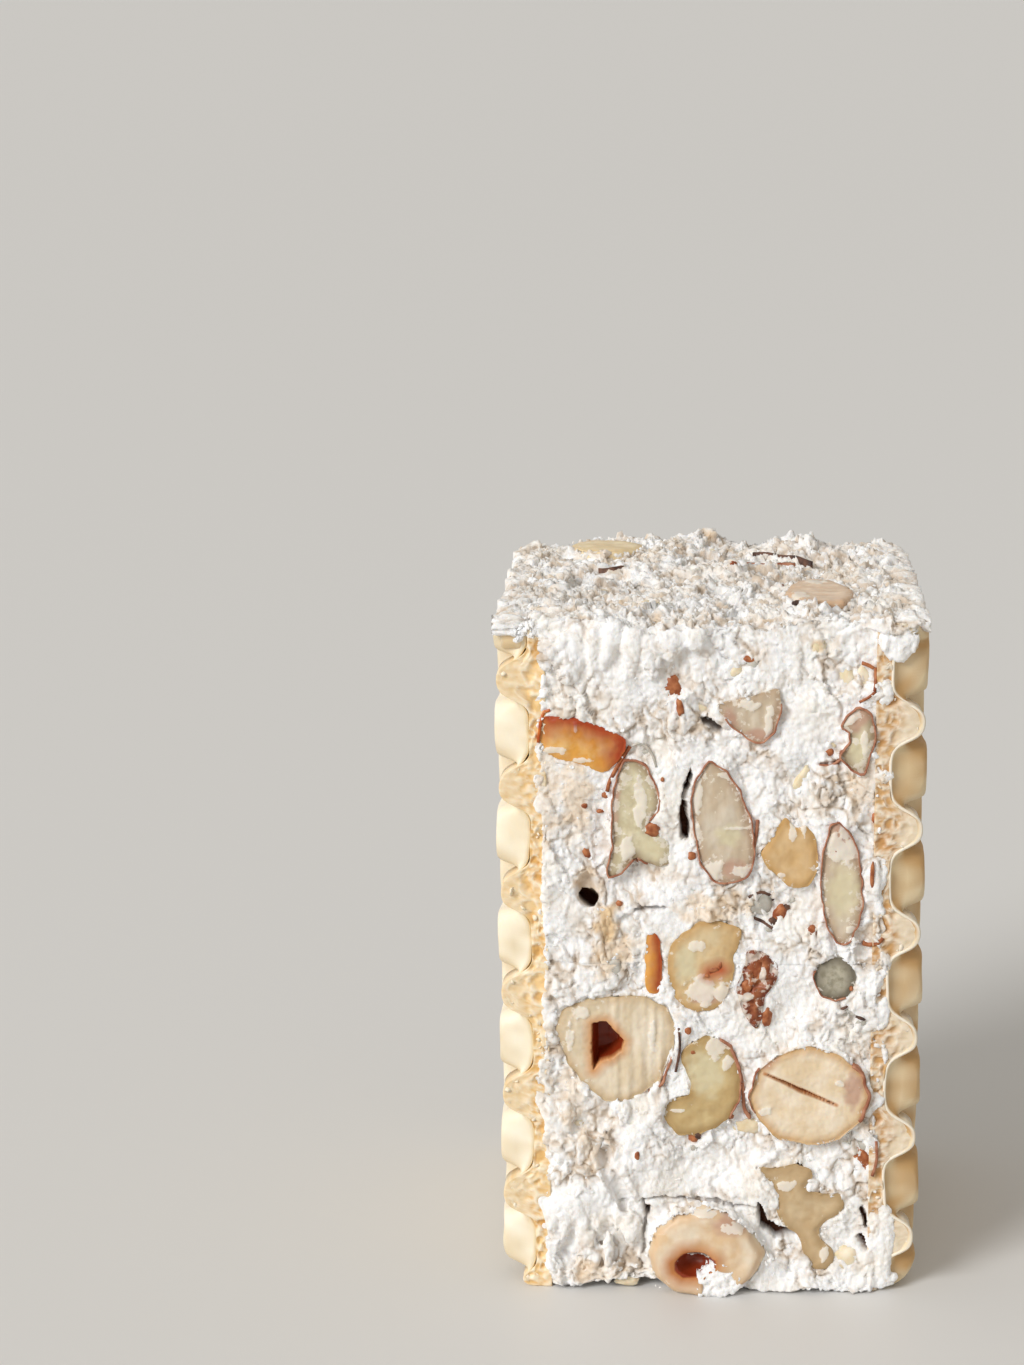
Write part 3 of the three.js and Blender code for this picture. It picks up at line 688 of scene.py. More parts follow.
HONEY = [  # middle in x and z, half size in x and z, strength
    ((-19.3, 64.3), (1.4, 5.5), 0.35),
    ((-16.0, 64), (1.8, 5.0), 0.55),
    ((-15.0, 53.0), (1.4, 2.0), 0.6),
    ((-12.5, 47.9), (1.6, 2.4), 1.0),
    ((-11.6, 44.2), (2.4, 2.6), 0.6),
    ((18.0, 66.0), (2.2, 2.4), 0.5),
    ((0.5, 50.0), (4.5, 2.0), 0.5),
    ((-17.0, 26), (1.2, 5), 0.45),
    ((-14.5, 2.0), (3.5, 1.6), 0.6),
    ((-15.0, 19), (1.2, 4), 0.4),
    ((9.0, 16.0), (2.5, 1.5), 0.25),
    ((12.8, 82.5), (0.9, 0.9), 0.9),
]
SMOOTH = [  # middle in x and z and half size of the smeared flats
    ((-2.6, 14.4), (5.2, 2.2)),
    ((-6.0, 8.6), (2.2, 2.6)),
    ((16.5, 26), (1.6, 6)),
    ((-10.5, 82.5), (9.5, 4.5)),
    ((21.5, 8.5), (1.5, 8.0)),
]
HANGING = [  # middle in x and z, half width and half height and tilt of the lumps that hang from the top edge
    ((-19.1, 82.1), (1.1, 2.1), 0),
    ((-16.8, 81.3), (1.9, 3.3), 4),
    ((-14.0, 82.1), (0.9, 3.4), 0),
    ((-12.1, 82.8), (1.1, 3.4), 16),
    ((-9.2, 82.2), (1.5, 3.1), 0),
    ((-7.2, 81.5), (1.5, 3.0), -6),
    ((-4.7, 82.9), (1.7, 2.4), 0),
    ((-1.8, 83.5), (1.6, 1.9), 0),
]

# %% The relief of torn nougat


def flakes(q, size):
    """Cell noise as torn flakes: the level of a tilted flake and the share of the way in from its edge."""
    gaps, seeds = noise.voronoi(q / size)
    tilt = (q / size - seeds[0]).dot(noise.noise_vector(seeds[0] * 3.1))
    return 1.3 * noise.noise(seeds[0] * 5.3) + 2.4 * tilt, min(1, (gaps[1] - gaps[0]) * size / 0.4)


def torn(p, rough, size, stretch):
    """How far torn nougat stands out at p in millimetres, and how much painted shade p gets for lying deep between
    flakes, 0 to 1.
    """
    drawn = Vector((p.x + 0.25 * p.z, p.y, stretch * p.z))
    drawn += 1.1 * noise.noise_vector(p / 2.6) + 0.3 * noise.noise_vector(p / 0.9)
    soft = noise.fractal(p / 6.5, 1.0, 2.0, 3)
    level, in_big = flakes(drawn, size)
    small_level, in_small = flakes(drawn + Vector((31, 7, 3)), 0.42 * size)
    split = min(max(0.6 + 1.6 * noise.noise(p / 3.1), 0.1), 1)
    height = 0.28 * soft + 0.13 * noise.fractal(p / 0.55, 0.7, 2.0, 2)
    height += rough * (0.34 * level + 0.22 * split * (in_big - 1) + 0.2 * small_level + 0.13 * (in_small - 1))
    cleft_shade = rough * (0.85 * split * (1 - in_big) + 0.4 * (1 - in_small) * split)
    return height, min(cleft_shade, 1)


def clot(target, middle, half, tilt=0.0):
    """Adds a soft lump of nougat, wider at its upper end, tilted by some degrees in the plane of the face."""
    bm = bmesh.new()
    bmesh.ops.create_icosphere(bm, subdivisions=3, radius=1.0)
    for v in bm.verts:
        v.co.x *= 1 + 0.4 * v.co.z
    bmesh.ops.scale(bm, verts=bm.verts, vec=Vector(half) * MM)
    bmesh.ops.rotate(bm, verts=bm.verts, matrix=Matrix.Rotation(math.radians(tilt), 3, "Y"))
    bmesh.ops.translate(bm, verts=bm.verts, vec=Vector(middle) * MM)
    pour(bm, target)


# %% Fill the sockets and make the mesh fine
BLOB_MIDDLE = Vector((1.2, LOW.y + 1.1, 1.7))
BLOB_HALF = Vector((2.0, 1.0, 2.5))
mass = solid_copy("nougat")
for node, face, _, _ in NUTS:
    filler = solid_copy(node)
    filler.normal_update()
    out = OUT[face]
    spread = 0.6 if node != "hazelnut_foot" else 0.3
    for v in filler.verts:
        side = v.normal - out * v.normal.dot(out)
        v.co += (side * spread - out * 0.35) * MM
    pour(filler, mass)
COVER = 25.3
for side in (-1, 1):
    smear = bmesh.new()
    bmesh.ops.create_cube(smear, size=MM)
    bmesh.ops.scale(smear, verts=smear.verts, vec=(COVER - 18, BACK - FRONT - 0.5, 1.5))
    bmesh.ops.translate(smear, verts=smear.verts, vec=Vector((side * (COVER + 18) / 2, (FRONT + BACK) / 2, TOP - 0.5)) * MM)
    pour(smear, mass)
dice = random.Random(5)
for (x, z), (wide, high), tilt in HANGING:
    clot(mass, (x, FRONT - 0.5, z), (wide, 1.0, high), tilt)
for _ in range(44):
    at = (dice.uniform(-19.4, -9.6), FRONT - dice.uniform(-0.1, 0.45), dice.uniform(1.5, 24.0))
    clot(mass, at, (dice.uniform(0.6, 1.1), 0.8, dice.uniform(1.2, 2.8)), dice.uniform(-25, 25))
for face_y, inwards in ((FRONT, 1), (BACK, -1)):
    for side in (-1, 1):
        for _ in range(20 if side > 0 else 8):
            at = (side * (INNER + dice.uniform(-0.6, 0.7 if side > 0 else 0.1)), face_y + 0.3 * inwards, dice.uniform(0.8, TOP - 2))
            clot(mass, at, (dice.uniform(0.5, 1.3), 0.6, dice.uniform(0.8, 2.6)), dice.uniform(-15, 15))
        clot(mass, (side * 21.8, face_y + 0.5 * inwards, TOP - 0.9), (3.2, 0.9, 1.5))
clot(mass, (22.0, FRONT + 0.3, 83.0), (2.2, 0.7, 2.4))
clot(mass, (21.2, FRONT + 0.3, 6.0), (1.6, 0.7, 6.0))
clot(mass, (20.8, FRONT + 0.6, 1.4), (2.4, 0.9, 1.3))
blob = bmesh.new()
bmesh.ops.create_icosphere(blob, subdivisions=4, radius=MM)
bmesh.ops.scale(blob, verts=blob.verts, vec=BLOB_HALF)
bmesh.ops.translate(blob, verts=blob.verts, vec=BLOB_MIDDLE * MM)
pour(blob, mass)
for v in mass.verts:
    v.co.z = max(v.co.z, 0)
mass = evaluated(mass, "REMESH", mode="VOXEL", voxel_size=0.2 * MM)
relaxed(mass, 6)
print("nougat vertices:", len(mass.verts))

# %% Tear the surface


def spot_share(at, middle, half):
    """1 in the middle of an oval spot, 0 on its edge and below 0 outside."""
    return 1 - math.hypot((at.x - middle[0]) / half[0], (at.y - middle[1]) / half[1])


def soaked_crumb(p):
    """How far honey has soaked into the crumb on top, 0 to 0.6."""
    return min(max(1.1 * noise.noise(p / 2.6) + 0.25 * noise.noise(p / 0.8) - 0.25, 0), 0.6)


LAP = INNER + 0.6
cleft_shade_layer = mass.verts.layers.float.new("cleft_shade")
honey_layer = mass.verts.layers.float.new("honey")
hole_shade_layer = mass.verts.layers.float.new("hole_shade")
mass.normal_update()
for v in mass.verts:
    p = v.co / MM
    n = v.normal
    if p.y < FRONT - 0.3 and (p - BLOB_MIDDLE).length < 3:
        v.co += n * (0.35 * noise.fractal(p / 0.9, 0.6, 2.0, 4) + 0.1) * MM
        continue
    if abs(p.x) > LAP and p.z > TOP - 1.8:
        sheet = WAFERS["wafer_left" if p.x < 0 else "wafer_right"]
        wander = 0.3 * noise.noise(Vector((3, p.y / 4, 0))) + 0.3 * noise.noise(Vector((7, p.y / 1.3, 0)))
        reach = INNER + stands_out(p.y, TOP - 0.8, sheet) * min(0.98, (1.0 if p.x < 0 else 0.82) + wander)
        outwards = (abs(p.x) - LAP) / (COVER - LAP)
        target = LAP + 0.4 + (reach - LAP - 0.4) * outwards
        share = min((p.z - TOP + 1.8) / 0.3, 1)
        height, v[cleft_shade_layer] = torn(p, 1.35, 1.9, 1.0)
        v[honey_layer] = soaked_crumb(p) * (1 - outwards)
        v.co.x += math.copysign(share * (target - abs(p.x)), p.x) * MM
        v.co += n * ((1.2 - 0.5 * outwards) * height + 0.15 * outwards) * MM
        v.co.z -= 0.5 * max(0, (outwards - 0.6) / 0.4) ** 2 * MM
        continue
    edge = abs(p.x) - SIDE + 3
    rough = min(max(0.8 + 1.1 * noise.noise(p / 7 + Vector((7, 0, 0))), 0.3), 1.2)
    if edge > 0:
        v.co.x += math.copysign(0.4 * min(edge / 3, 1) ** 2, p.x) * MM
        if min(p.y - FRONT, BACK - p.y, TOP - p.z) > 1.5 and edge > 2.95:
            continue
        rough *= 1 - 0.5 * min(max((edge - 3.3) / 0.6, 0), 1)
    face = max(OUT, key=lambda name: n.dot(OUT[name]) + (p.dot(OUT[name]) - LEVEL[name]) * 0.2)
    at = Vector((p.x, p.z))
    if face == "front":
        for middle, half in SMOOTH:
            rough *= 1 - 0.7 * min(max(1.5 * spot_share(at, middle, half) + 0.4 * noise.noise(p / 2), 0), 1)
    size, stretch = (1.9, 1.0) if face in ("top", "under") else (2.1, 0.62)
    if face == "top":
        rough = 1.35
        v[honey_layer] = soaked_crumb(p)
    height, cleft_shade = torn(p, rough, size, stretch)
    if face == "top":
        height *= 1.2
    deep = inside_nut(p, face)
    near = max(0, 1 - abs(deep) / 0.7)
    height = height * (1 - 0.5 * near) + (0.05 + 0.3 * noise.noise(p / 0.9)) * near
    sideways = noise.noise_vector(p / 1.1) * 0.2 * rough
    if face == "front" and n.dot(OUT[face]) > 0.3:
        for cut in CUTS:
            share = (within(at, cut) + 0.12 * noise.noise(p / 0.7)) / cut["wide"]
            if share > 0:
                height -= cut["deep"] * min(1, 1.6 * math.sqrt(share))
                # Paints shade dark brown into the inside of the hole or crack.
                v[hole_shade_layer] = max(v[hole_shade_layer], cut["hole_shade"] * min(1, 2.2 * share))
                sideways *= 0.3
        for middle, half, strength in HONEY:
            spot = spot_share(at, middle, half) + 0.3 + 0.8 * noise.noise(p / 1.5)
            v[honey_layer] = max(v[honey_layer], strength * min(max(1.5 * spot, 0), 1))
    # How deep the vertex lies between flakes; the material paints it as grey-brown shade.
    v[cleft_shade_layer] = cleft_shade
    v.co += (n * height + sideways) * MM
    if p.z < 4:
        arch = 1.3 * max(0, 1 - ((p.x + 10) / 6.5) ** 2) + max(0, 1.2 * noise.noise(Vector((p.x / 5, 4, 0))))
        v.co.z += arch * max(0, 1 - (p.y - FRONT) / 6) * (1 - p.z / 4) ** 2 * MM
    deep += 0.35 * noise.noise(p / 0.9) + 0.15 * noise.noise(p / 0.4) - 0.22
    if n.dot(OUT[face]) > 0.2 and deep > 0:
        v.co -= OUT[face] * min(5.0, 0.5 + 5 * deep) * MM
nougat_tree = BVHTree.FromBMesh(mass)

# %% [markdown]
# ### Three pieces of nougat
#
# The front takes most of the detail, and one mesh would get too heavy. So the block is cut in two behind the
# front nuts, and the front part once more at half its height. Each cut is closed, and each part is thinned
# on its own. Decimate spends its triangles where the surface bends, and the hidden sides against the wafers
# cost almost nothing.

# %% Split and thin the block
PART_TRIANGLES = 190000


def cut_off(part, at, towards):
    """Takes away the side of a part that lies towards a direction, and closes the cut."""
    cut = bmesh.ops.bisect_plane(part, geom=part.verts[:] + part.edges[:] + part.faces[:], dist=1e-7,
                                 plane_co=at * MM, plane_no=towards, clear_outer=True)
    rim = [g for g in cut["geom_cut"] if isinstance(g, bmesh.types.BMEdge)]
    bmesh.ops.holes_fill(part, edges=rim, sides=0)


BEHIND_NUTS = Vector((0, FRONT + 7.5, 0))
HALFWAY = Vector((0, 0, 0.5 * TOP))
BACKWARDS = Vector((0, 1, 0))
UPWARDS = Vector((0, 0, 1))
PARTS = {
    "nougat_front_low": [(BEHIND_NUTS, BACKWARDS), (HALFWAY, UPWARDS)],
    "nougat_front_high": [(BEHIND_NUTS, BACKWARDS), (HALFWAY, -UPWARDS)],
    "nougat_rear": [(BEHIND_NUTS, -BACKWARDS)],
}
for name, planes in PARTS.items():
    part = mass.copy()
    for at, towards in planes:
        cut_off(part, at, towards)
    bmesh.ops.triangulate(part, faces=part.faces[:])
    thin = min(1.0, PART_TRIANGLES / len(part.faces))
    finish_piece(name, evaluated(part, "DECIMATE", ratio=thin), nougat_material, ["nougat"])
mass.free()

# %% [markdown]
# ## Cut nuts and peel
#
# Each outline is filled with one face and extruded back into the nougat, then remeshed at a fifth of a
# millimetre. The flat gets low saw marks, its hollow or slit is pressed in, and both attributes are
# measured. Three kernels stand out of the nougat so far that their round bodies show, and those are
# softened copies of their solids instead.

# %% Hollows and slits
MARKS = {
    "hazelnut_hollow": {"area": [(-14.4, 35.2), (-12.8, 35.5), (-11.6, 34.3), (-10.5, 32.9), (-10.8, 31.6),
                                 (-12.0, 30.7), (-13.4, 30.3), (-14.3, 29.1), (-14.5, 31.7)], "deep": 3.6,
                        "narrow": 1.1},
    "hazelnut_slit": {"area": [(6.8, 29.1), (9.2, 28.15), (11.4, 27.1), (13.4, 26.15), (15.6, 25.1), (13.3, 25.95),
                               (11.2, 26.75), (9.1, 27.95)], "deep": 3.0, "narrow": 5.0},
    "hazelnut_foot": {"area": [(-4.3, 4.6), (-3.2, 5.9), (-1.2, 6.1), (0.8, 5.0), (0.9, 3.8), (-0.6, 2.6),
                               (-3.3, 2.5), (-4.3, 3.4)], "deep": 0.0, "narrow": 0.8},
    "hazelnut_gold": {"line": [(0.1, 41.9), (1.3, 42.4)], "wide": 0.12, "deep": 0.2, "narrow": 0.9},
    "hazelnut_back_middle": {"area": [(-12.2, 39.9), (-10.6, 41.2), (-8.6, 39.6), (-8.2, 37.4), (-9.8, 36.0),
                                      (-12.0, 37.0)], "deep": 3.4},
    "hazelnut_back_high": {"line": [(4.9, 66.9), (9.2, 65.4), (13.6, 63.4)], "wide": 0.3, "deep": 2.0},
    "hazelnut_under": {"line": [(-12.2, 3.4), (-9.4, 4.0), (-6.6, 5.2)], "wide": 0.35, "deep": 2.0},
    "peel_large": {"line": [(-19.4, 74.1), (-17.1, 74.2), (-14.6, 73.4), (-12.2, 72.4), (-10.1, 71.2),
                            (-11.0, 69.2)], "wide": 0.01, "deep": 0.0, "narrow": 0.42},
    "peel_strip": {"line": [(-6.3, 46.6), (-6.0, 43.5), (-6.3, 39.8)], "wide": 0.01, "deep": 0.0},
    "peel_back": {"line": [(4.9, 29.1), (1.2, 30.1), (-3.3, 29.4)], "wide": 0.01, "deep": 0.0},
}
STANDS_OUT = {"hazelnut_foot", "almond_top_front", "almond_top_back"}
FINE = {"hazelnut_slit", "hazelnut_hollow"}
FILMS = {  # where nougat sticks to a nut: middle and half size on its face
    "hazelnut_amber": [((9.9, 60.4), (0.45, 2.2)), ((11.2, 60.8), (0.35, 1.3)), ((8.6, 54.4), (0.5, 0.3))],
    "peel_large": [((-15.2, 68.7), (1.3, 0.4)), ((-18.8, 69.9), (1.4, 0.4)), ((-16.1, 72.9), (0.3, 1.0))],
    "hazelnut_gold": [((-0.9, 39.7), (2.1, 1.7)), ((1.5, 39.4), (1.3, 1.5)), ((-1.6, 45.4), (1.0, 0.7))],
    "almond_right": [((15.8, 57.6), (1.9, 1.9)), ((16.3, 59.8), (0.9, 1.2)), ((17.2, 47.6), (0.7, 0.6))],
    "almond_middle": [((-1.5, 64.5), (0.6, 2.6)), ((-1.9, 59.0), (0.7, 2.2)), ((0.3, 55.2), (1.4, 1.3)),
                      ((4.0, 54.9), (1.6, 0.8)), ((3.4, 60.3), (1.7, 0.25)), ((2.2, 66.9), (1.2, 0.6))],
    "almond_corner": [((4.6, 75.6), (1.3, 0.8)), ((7.0, 73.6), (0.6, 2.0))],
    "walnut_tall": [((-8.4, 63.2), (0.8, 3.2)), ((-6.9, 66.2), (0.9, 0.8)), ((-9.9, 57.8), (1.0, 1.6)),
                    ((-7.2, 60.6), (0.8, 1.1))],
    "walnut_right": [((16.4, 73.9), (1.0, 0.8)), ((18.3, 71.2), (0.4, 1.6))],
    "walnut_lower": [((0.9, 32.4), (1.4, 1.6)), ((2.2, 30.2), (0.7, 1.0)), ((-4.0, 23.9), (0.8, 0.3))],
    "walnut_foot": [((9.6, 14.2), (1.2, 0.8)), ((14.2, 5.2), (0.6, 1.0))],
    "walnut_crumbled": [((4.4, 38.8), (1.2, 0.6)), ((6.4, 41.6), (0.4, 1.2))],
    "hazelnut_hollow": [((-15.9, 36.6), (1.4, 0.9)), ((-17.2, 33.2), (0.5, 1.8)), ((-7.0, 33.5), (0.5, 1.8))],
    "hazelnut_slit": [((7.0, 24.2), (0.9, 0.5)), ((16.0, 28.0), (0.5, 0.4))],
    "hazelnut_foot": [((3.2, 9.4), (1.6, 0.8)), ((-0.6, 11.0), (1.6, 0.4))],
    "almond_top_front": [((13.0, -4.6), (1.6, 1.0)), ((11.0, -12.0), (1.0, 1.6))],
    "hazelnut_back_high": [((12.0, 68.2), (1.6, 1.0)), ((6.0, 62.0), (1.2, 0.8))],
    "hazelnut_back_middle": [((-13.6, 41.6), (1.4, 0.9)), ((-6.4, 36.0), (0.9, 1.6))],
    "hazelnut_back_low": [((9.0, 18.6), (1.8, 1.2)), ((14.0, 11.0), (1.0, 1.6))],
    "almond_back_high": [((-9.4, 70.6), (0.9, 2.4)), ((-13.2, 66.0), (1.0, 1.4))],
    "almond_back_middle": [((12.6, 41.4), (2.0, 0.8)), ((7.6, 38.4), (1.0, 0.8))],
    "walnut_back_curl": [((-2.2, 57.2), (1.6, 0.6)), ((3.6, 55.0), (1.0, 0.8))],
    "walnut_back_hook": [((-13.6, 24.6), (1.2, 1.0)), ((-15.8, 17.6), (0.8, 1.6))],
}
TINTS = {  # fresh is pale yellow and rosy is pinkish: middle and half size on the nut's face
    "almond_right": [("rosy", (15.8, 60.1), (1.7, 2.8)), ("fresh", (16.1, 52.4), (2.5, 4.2))],
    "almond_corner": [("rosy", (2.3, 73.8), (1.2, 1.8)), ("rosy", (5.8, 71.9), (2.0, 0.9))],
    "almond_middle": [("fresh", (2.3, 59.4), (2.0, 1.6)), ("rosy", (2.9, 55.2), (2.0, 1.6))],
    "walnut_right": [("rosy", (17.2, 74.1), (2.0, 2.2)), ("fresh", (17.9, 70.3), (1.5, 1.8))],
    "walnut_tall": [("fresh", (-6.9, 58.4), (2.4, 2.4)), ("rosy", (-11.6, 64.5), (0.9, 4.2))],
    "walnut_lower": [("fresh", (-0.5, 29.0), (3.0, 3.6))],
    "hazelnut_slit": [("rosy", (6.6, 31.4), (2.2, 2.2)), ("rosy", (17.6, 27.0), (1.4, 3.0))],
    "hazelnut_gold": [("rosy", (-0.6, 38.8), (2.2, 1.2)), ("fresh", (-2.8, 43.0), (1.6, 3.0))],
    "hazelnut_foot": [("rosy", (2.8, 9.6), (3.0, 1.6))],
    "almond_back_high": [("rosy", (-11.0, 71.0), (2.0, 3.0))],
    "almond_back_middle": [("fresh", (10.0, 40.0), (3.0, 1.6))],
    "walnut_back_curl": [("fresh", (0.0, 55.0), (2.6, 2.0))],
}

# %% Make a nut


def nut_body(node, face):
    """A cut nut as a fine closed mesh: from its outline, or from its solid where the body shows."""
    out = OUT[face]
    if node in STANDS_OUT:
        bm = evaluated(solid_copy(node), "REMESH", mode="VOXEL", voxel_size=0.25 * MM)
        relaxed(bm, 14)
        return bm
    loop = RIMS[node]
    bm = bmesh.new()
    uneven = 0.08 if node == "hazelnut_slit" else 0.22
    wobble = [a * (0.18 + uneven * noise.noise(p / 1.3)) for p, a in zip(loop, outward(loop, out))]
    lid = bm.faces.new([bm.verts.new((p + w) * MM) for p, w in zip(loop, wobble)])
    drawn = bmesh.ops.extrude_face_region(bm, geom=[lid])["geom"]
    deep = [g for g in drawn if isinstance(g, bmesh.types.BMVert)]
    middle = sum(loop, Vector()) / len(loop)
    bmesh.ops.translate(bm, verts=deep, vec=-out * 4.8 * MM)
    bmesh.ops.scale(bm, verts=deep, vec=(0.8, 0.8, 0.8), space=Matrix.Translation(-middle * MM))
    bmesh.ops.recalc_face_normals(bm, faces=bm.faces)
    bm = evaluated(bm, "REMESH", mode="VOXEL", voxel_size=(0.14 if node in FINE else 0.2) * MM)
    relaxed(bm, 2)
    return bm


def dress_nut(node, face):
    """Gives a nut its saw marks, its hollow and the two attributes that the shader reads."""
    out = OUT[face]
    bm = nut_body(node, face)
    bm.normal_update()
    loop = RIMS[node]
    tree = KDTree(len(loop))
    for i, p in enumerate(loop):
        tree.insert(p, i)
    tree.balance()
    mark = MARKS.get(node)
    rim_layer = bm.verts.layers.float.new("rim")
    core_layer = bm.verts.layers.float.new("core")
    film_layer = bm.verts.layers.float.new("film")
    tint_layers = {kind: bm.verts.layers.float.new(kind) for kind in ("fresh", "rosy")}
    for v in bm.verts:
        p = v.co / MM
        facing = min(max((v.normal.dot(out) - 0.4) / 0.4, 0), 1)
        v[rim_layer] = tree.find(p)[2]
        v[core_layer] = 9.0
        v[film_layer] = -1.0
        at = flat_place(p, face)
        move = 0.09 * noise.fractal(p / 1.2, 0.8, 2.0, 3) + 0.2 * noise.noise(p / 3.5) - 0.1
        move -= 0.25 * max(0, 0.5 - v[rim_layer])
        if node.startswith("almond_top"):
            move += 0.2
        if node == "hazelnut_hollow" and p.x > -12.5:
            move += 0.2 * noise.noise(Vector((p.x / 0.8, 0, p.z / 6)))
        for middle, half in FILMS.get(node, ()):
            film = spot_share(at, middle, half) + 0.55 * noise.fractal(p / 1.2, 0.8, 2.0, 3)
            v[film_layer] = max(v[film_layer], film)
        for kind, middle, half in TINTS.get(node, ()):
            spot = 1.6 * spot_share(at, middle, half) + 0.5 * noise.noise(p / 0.9)
            v[tint_layers[kind]] = min(max(v[tint_layers[kind]], spot, 0), 0.8)
        move += 0.12 * min(max(5 * v[film_layer], 0), 1)
        if node == "walnut_crumbled":
            move += 0.55 * noise.fractal(p / 0.9, 0.8, 2.0, 3)
        if node == "almond_top_back":
            move -= 0.45
        if node == "hazelnut_foot":
            move -= 1.6 * min(max(3 * spot_share(at, (1.3, 1.2), (2.2, 2.3)), 0), 1)
        if mark:
            depth = within(at, mark) + 0.05 * noise.noise(p / 0.6)
            v[core_layer] = -depth * (mark.get("narrow", 1) if depth < 0 else 1)
            if depth > 0 and facing > 0:
                move -= min(mark["deep"], 0.6 + 5 * depth) if "area" in mark else mark["deep"] * depth / mark["wide"]
        v.co += out * facing * move * MM
    return bm


for node, face, kind, slot in NUTS:
    finish_piece(node + "_cut", dress_nut(node, face), FLESH[kind], [node])

# %% [markdown]
# ## Skins
#
# Almond and walnut skins are papery and stay on the nut as a brown line. A band is a strip of edges along
# part of the outline, extruded back into the nougat and thickened, so it has two sides and an edge like the
# real skin. Where a nut keeps its skin is given as a range of angles round its middle, from 0 at the right,
# anticlockwise.

# %% Bands of skin


def strip(bm, points, out, thick, sink=1.6):
    """Adds a thin strip along the points, standing on edge in the nougat."""
    ring = [bm.verts.new(p * MM) for p in points]
    edges = [bm.edges.new(pair) for pair in zip(ring, ring[1:])]
    drawn = bmesh.ops.extrude_edge_only(bm, edges=edges)["geom"]
    lower = [g for g in drawn if isinstance(g, bmesh.types.BMVert)]
    bmesh.ops.translate(bm, verts=lower, vec=-out * sink * MM)
    faces = [g for g in drawn if isinstance(g, bmesh.types.BMFace)]
    bmesh.ops.recalc_face_normals(bm, faces=faces)
    bmesh.ops.solidify(bm, geom=faces, thickness=thick * MM)


def skin_band(node, face, first, last, thick):
    """A band of skin round one nut between two angles in degrees, as a bmesh."""
    out = OUT[face]
    loop = RIMS[node]
    middle = flat_place(sum(loop, Vector()) / len(loop), face)
    kept = []
    for p, away in zip(loop, outward(loop, out)):
        across = flat_place(p, face) - middle
        angle = math.degrees(math.atan2(across.y, across.x))
        rise = 0.06 + 0.3 * noise.noise(p / 1.3)
        side = 0.16 + thick / 2 + 0.22 * noise.noise(p / 1.3) + 0.07 * noise.noise(p / 0.5)
        kept.append((p + away * side + out * rise) if (angle - first) % 360 <= last - first else None)
    if None in kept:
        start = kept.index(None)
        kept = kept[start:] + kept[:start]
    else:
        kept.append(kept[0].copy())
    bm = bmesh.new()
    run = []
    for p in kept + [None]:
        if p is not None:
            run.append(p)
        elif len(run) > 2:
            strip(bm, run, out, thick)
            run = []
        else:
            run = []
    return bm


SKINS = [
    ("hazelnut_hollow", "front", -60, -8, 0.3),
    ("hazelnut_slit", "front", -28, 40, 0.4),
    ("hazelnut_slit", "front", 150, 200, 0.15),
    ("almond_middle", "front", 0, 360, 0.17),
    ("almond_right", "front", 0, 360, 0.17),
    ("almond_corner", "front", 185, 385, 0.17),
    ("almond_grey", "front", 150, 300, 0.15),
    ("walnut_tall", "front", 20, 290, 0.2),
    ("walnut_right", "front", 0, 360, 0.2),
    ("walnut_lower", "front", -50, 75, 0.2),
    ("hazelnut_back_high", "back", 20, 170, 0.3),
    ("hazelnut_back_low", "back", 180, 300, 0.3),
    ("almond_back_high", "back", 0, 360, 0.22),
    ("almond_back_middle", "back", 0, 360, 0.22),
    ("almond_back_shard", "back", 0, 200, 0.22),
    ("walnut_back_curl", "back", 0, 360, 0.25),
    ("walnut_back_hook", "back", 0, 250, 0.25),
    ("almond_under", "under", 0, 360, 0.22),
    ("walnut_under", "under", 0, 360, 0.25),
]
bands = bmesh.new()
for row in SKINS:
    pour(skin_band(*row), bands)
finish_piece("nut_skins", bands, SKIN)

# %% [markdown]
# ## Wafer sheets
#
# The outside is a grid moved by the pattern's formula and thickened inwards to a third of a millimetre. The
# foam shows only where the saw went through, so it is made as four bars along the cut edges. Bubbles of many
# sizes are strewn over each bar from a seed, no two closer than their walls allow, and pressed in.

# %% The skin of a wafer


def wafer_skin(wafer):
    """The pressed outer skin as a thin closed shell, with its painted-shade slopes and pale sawn edges marked."""
    bm = bmesh.new()
    bmesh.ops.create_grid(bm, x_segments=round((BACK - FRONT) / 0.36), y_segments=round(TOP / 0.36), size=0.5)
    slope_shade_layer = bm.verts.layers.float.new("slope_shade")
    sawn_layer = bm.verts.layers.float.new("sawn")
    for v in bm.verts:
        y = FRONT + wafer["tuck"] + (v.co.x + 0.5) * (BACK - FRONT - 2 * wafer["tuck"])
        z = (v.co.y + 0.5) * (TOP - 0.5)
        x = wafer["side"] * (INNER + stands_out(y, z, wafer))
        on_edge = abs(v.co.x) > 0.499 or v.co.y > 0.499
        v[sawn_layer] = 1.0 if on_edge else 0.0
        if abs(v.co.x) > 0.499:
            chipped = min(0.35 * max(0, noise.noise(Vector((y / 3, z / 1.3, 4 * wafer["side"])))), 0.2)
            y -= math.copysign(chipped, v.co.x)
        v.co = Vector((x, y, z)) * MM
    bmesh.ops.recalc_face_normals(bm, faces=bm.faces)
    if sum(f.normal.x for f in bm.faces) * wafer["side"] < 0:
        bmesh.ops.reverse_faces(bm, faces=bm.faces)
    bm.normal_update()
    # Painted shade by which way a slope faces: facing down on the left sheet, facing up on the right, with a little
    # random wander.
    for v in bm.verts:
        slope = wafer["shade_facing"] * v.normal.z + 0.25 * noise.noise(v.co / MM / 2) + 0.15
        v[slope_shade_layer] = min(max(3 * slope, 0), 1)
    bmesh.ops.solidify(bm, geom=bm.faces[:], thickness=SHELL * MM)
    return bm


# %% Crumb shapes
chance = random.Random(11)


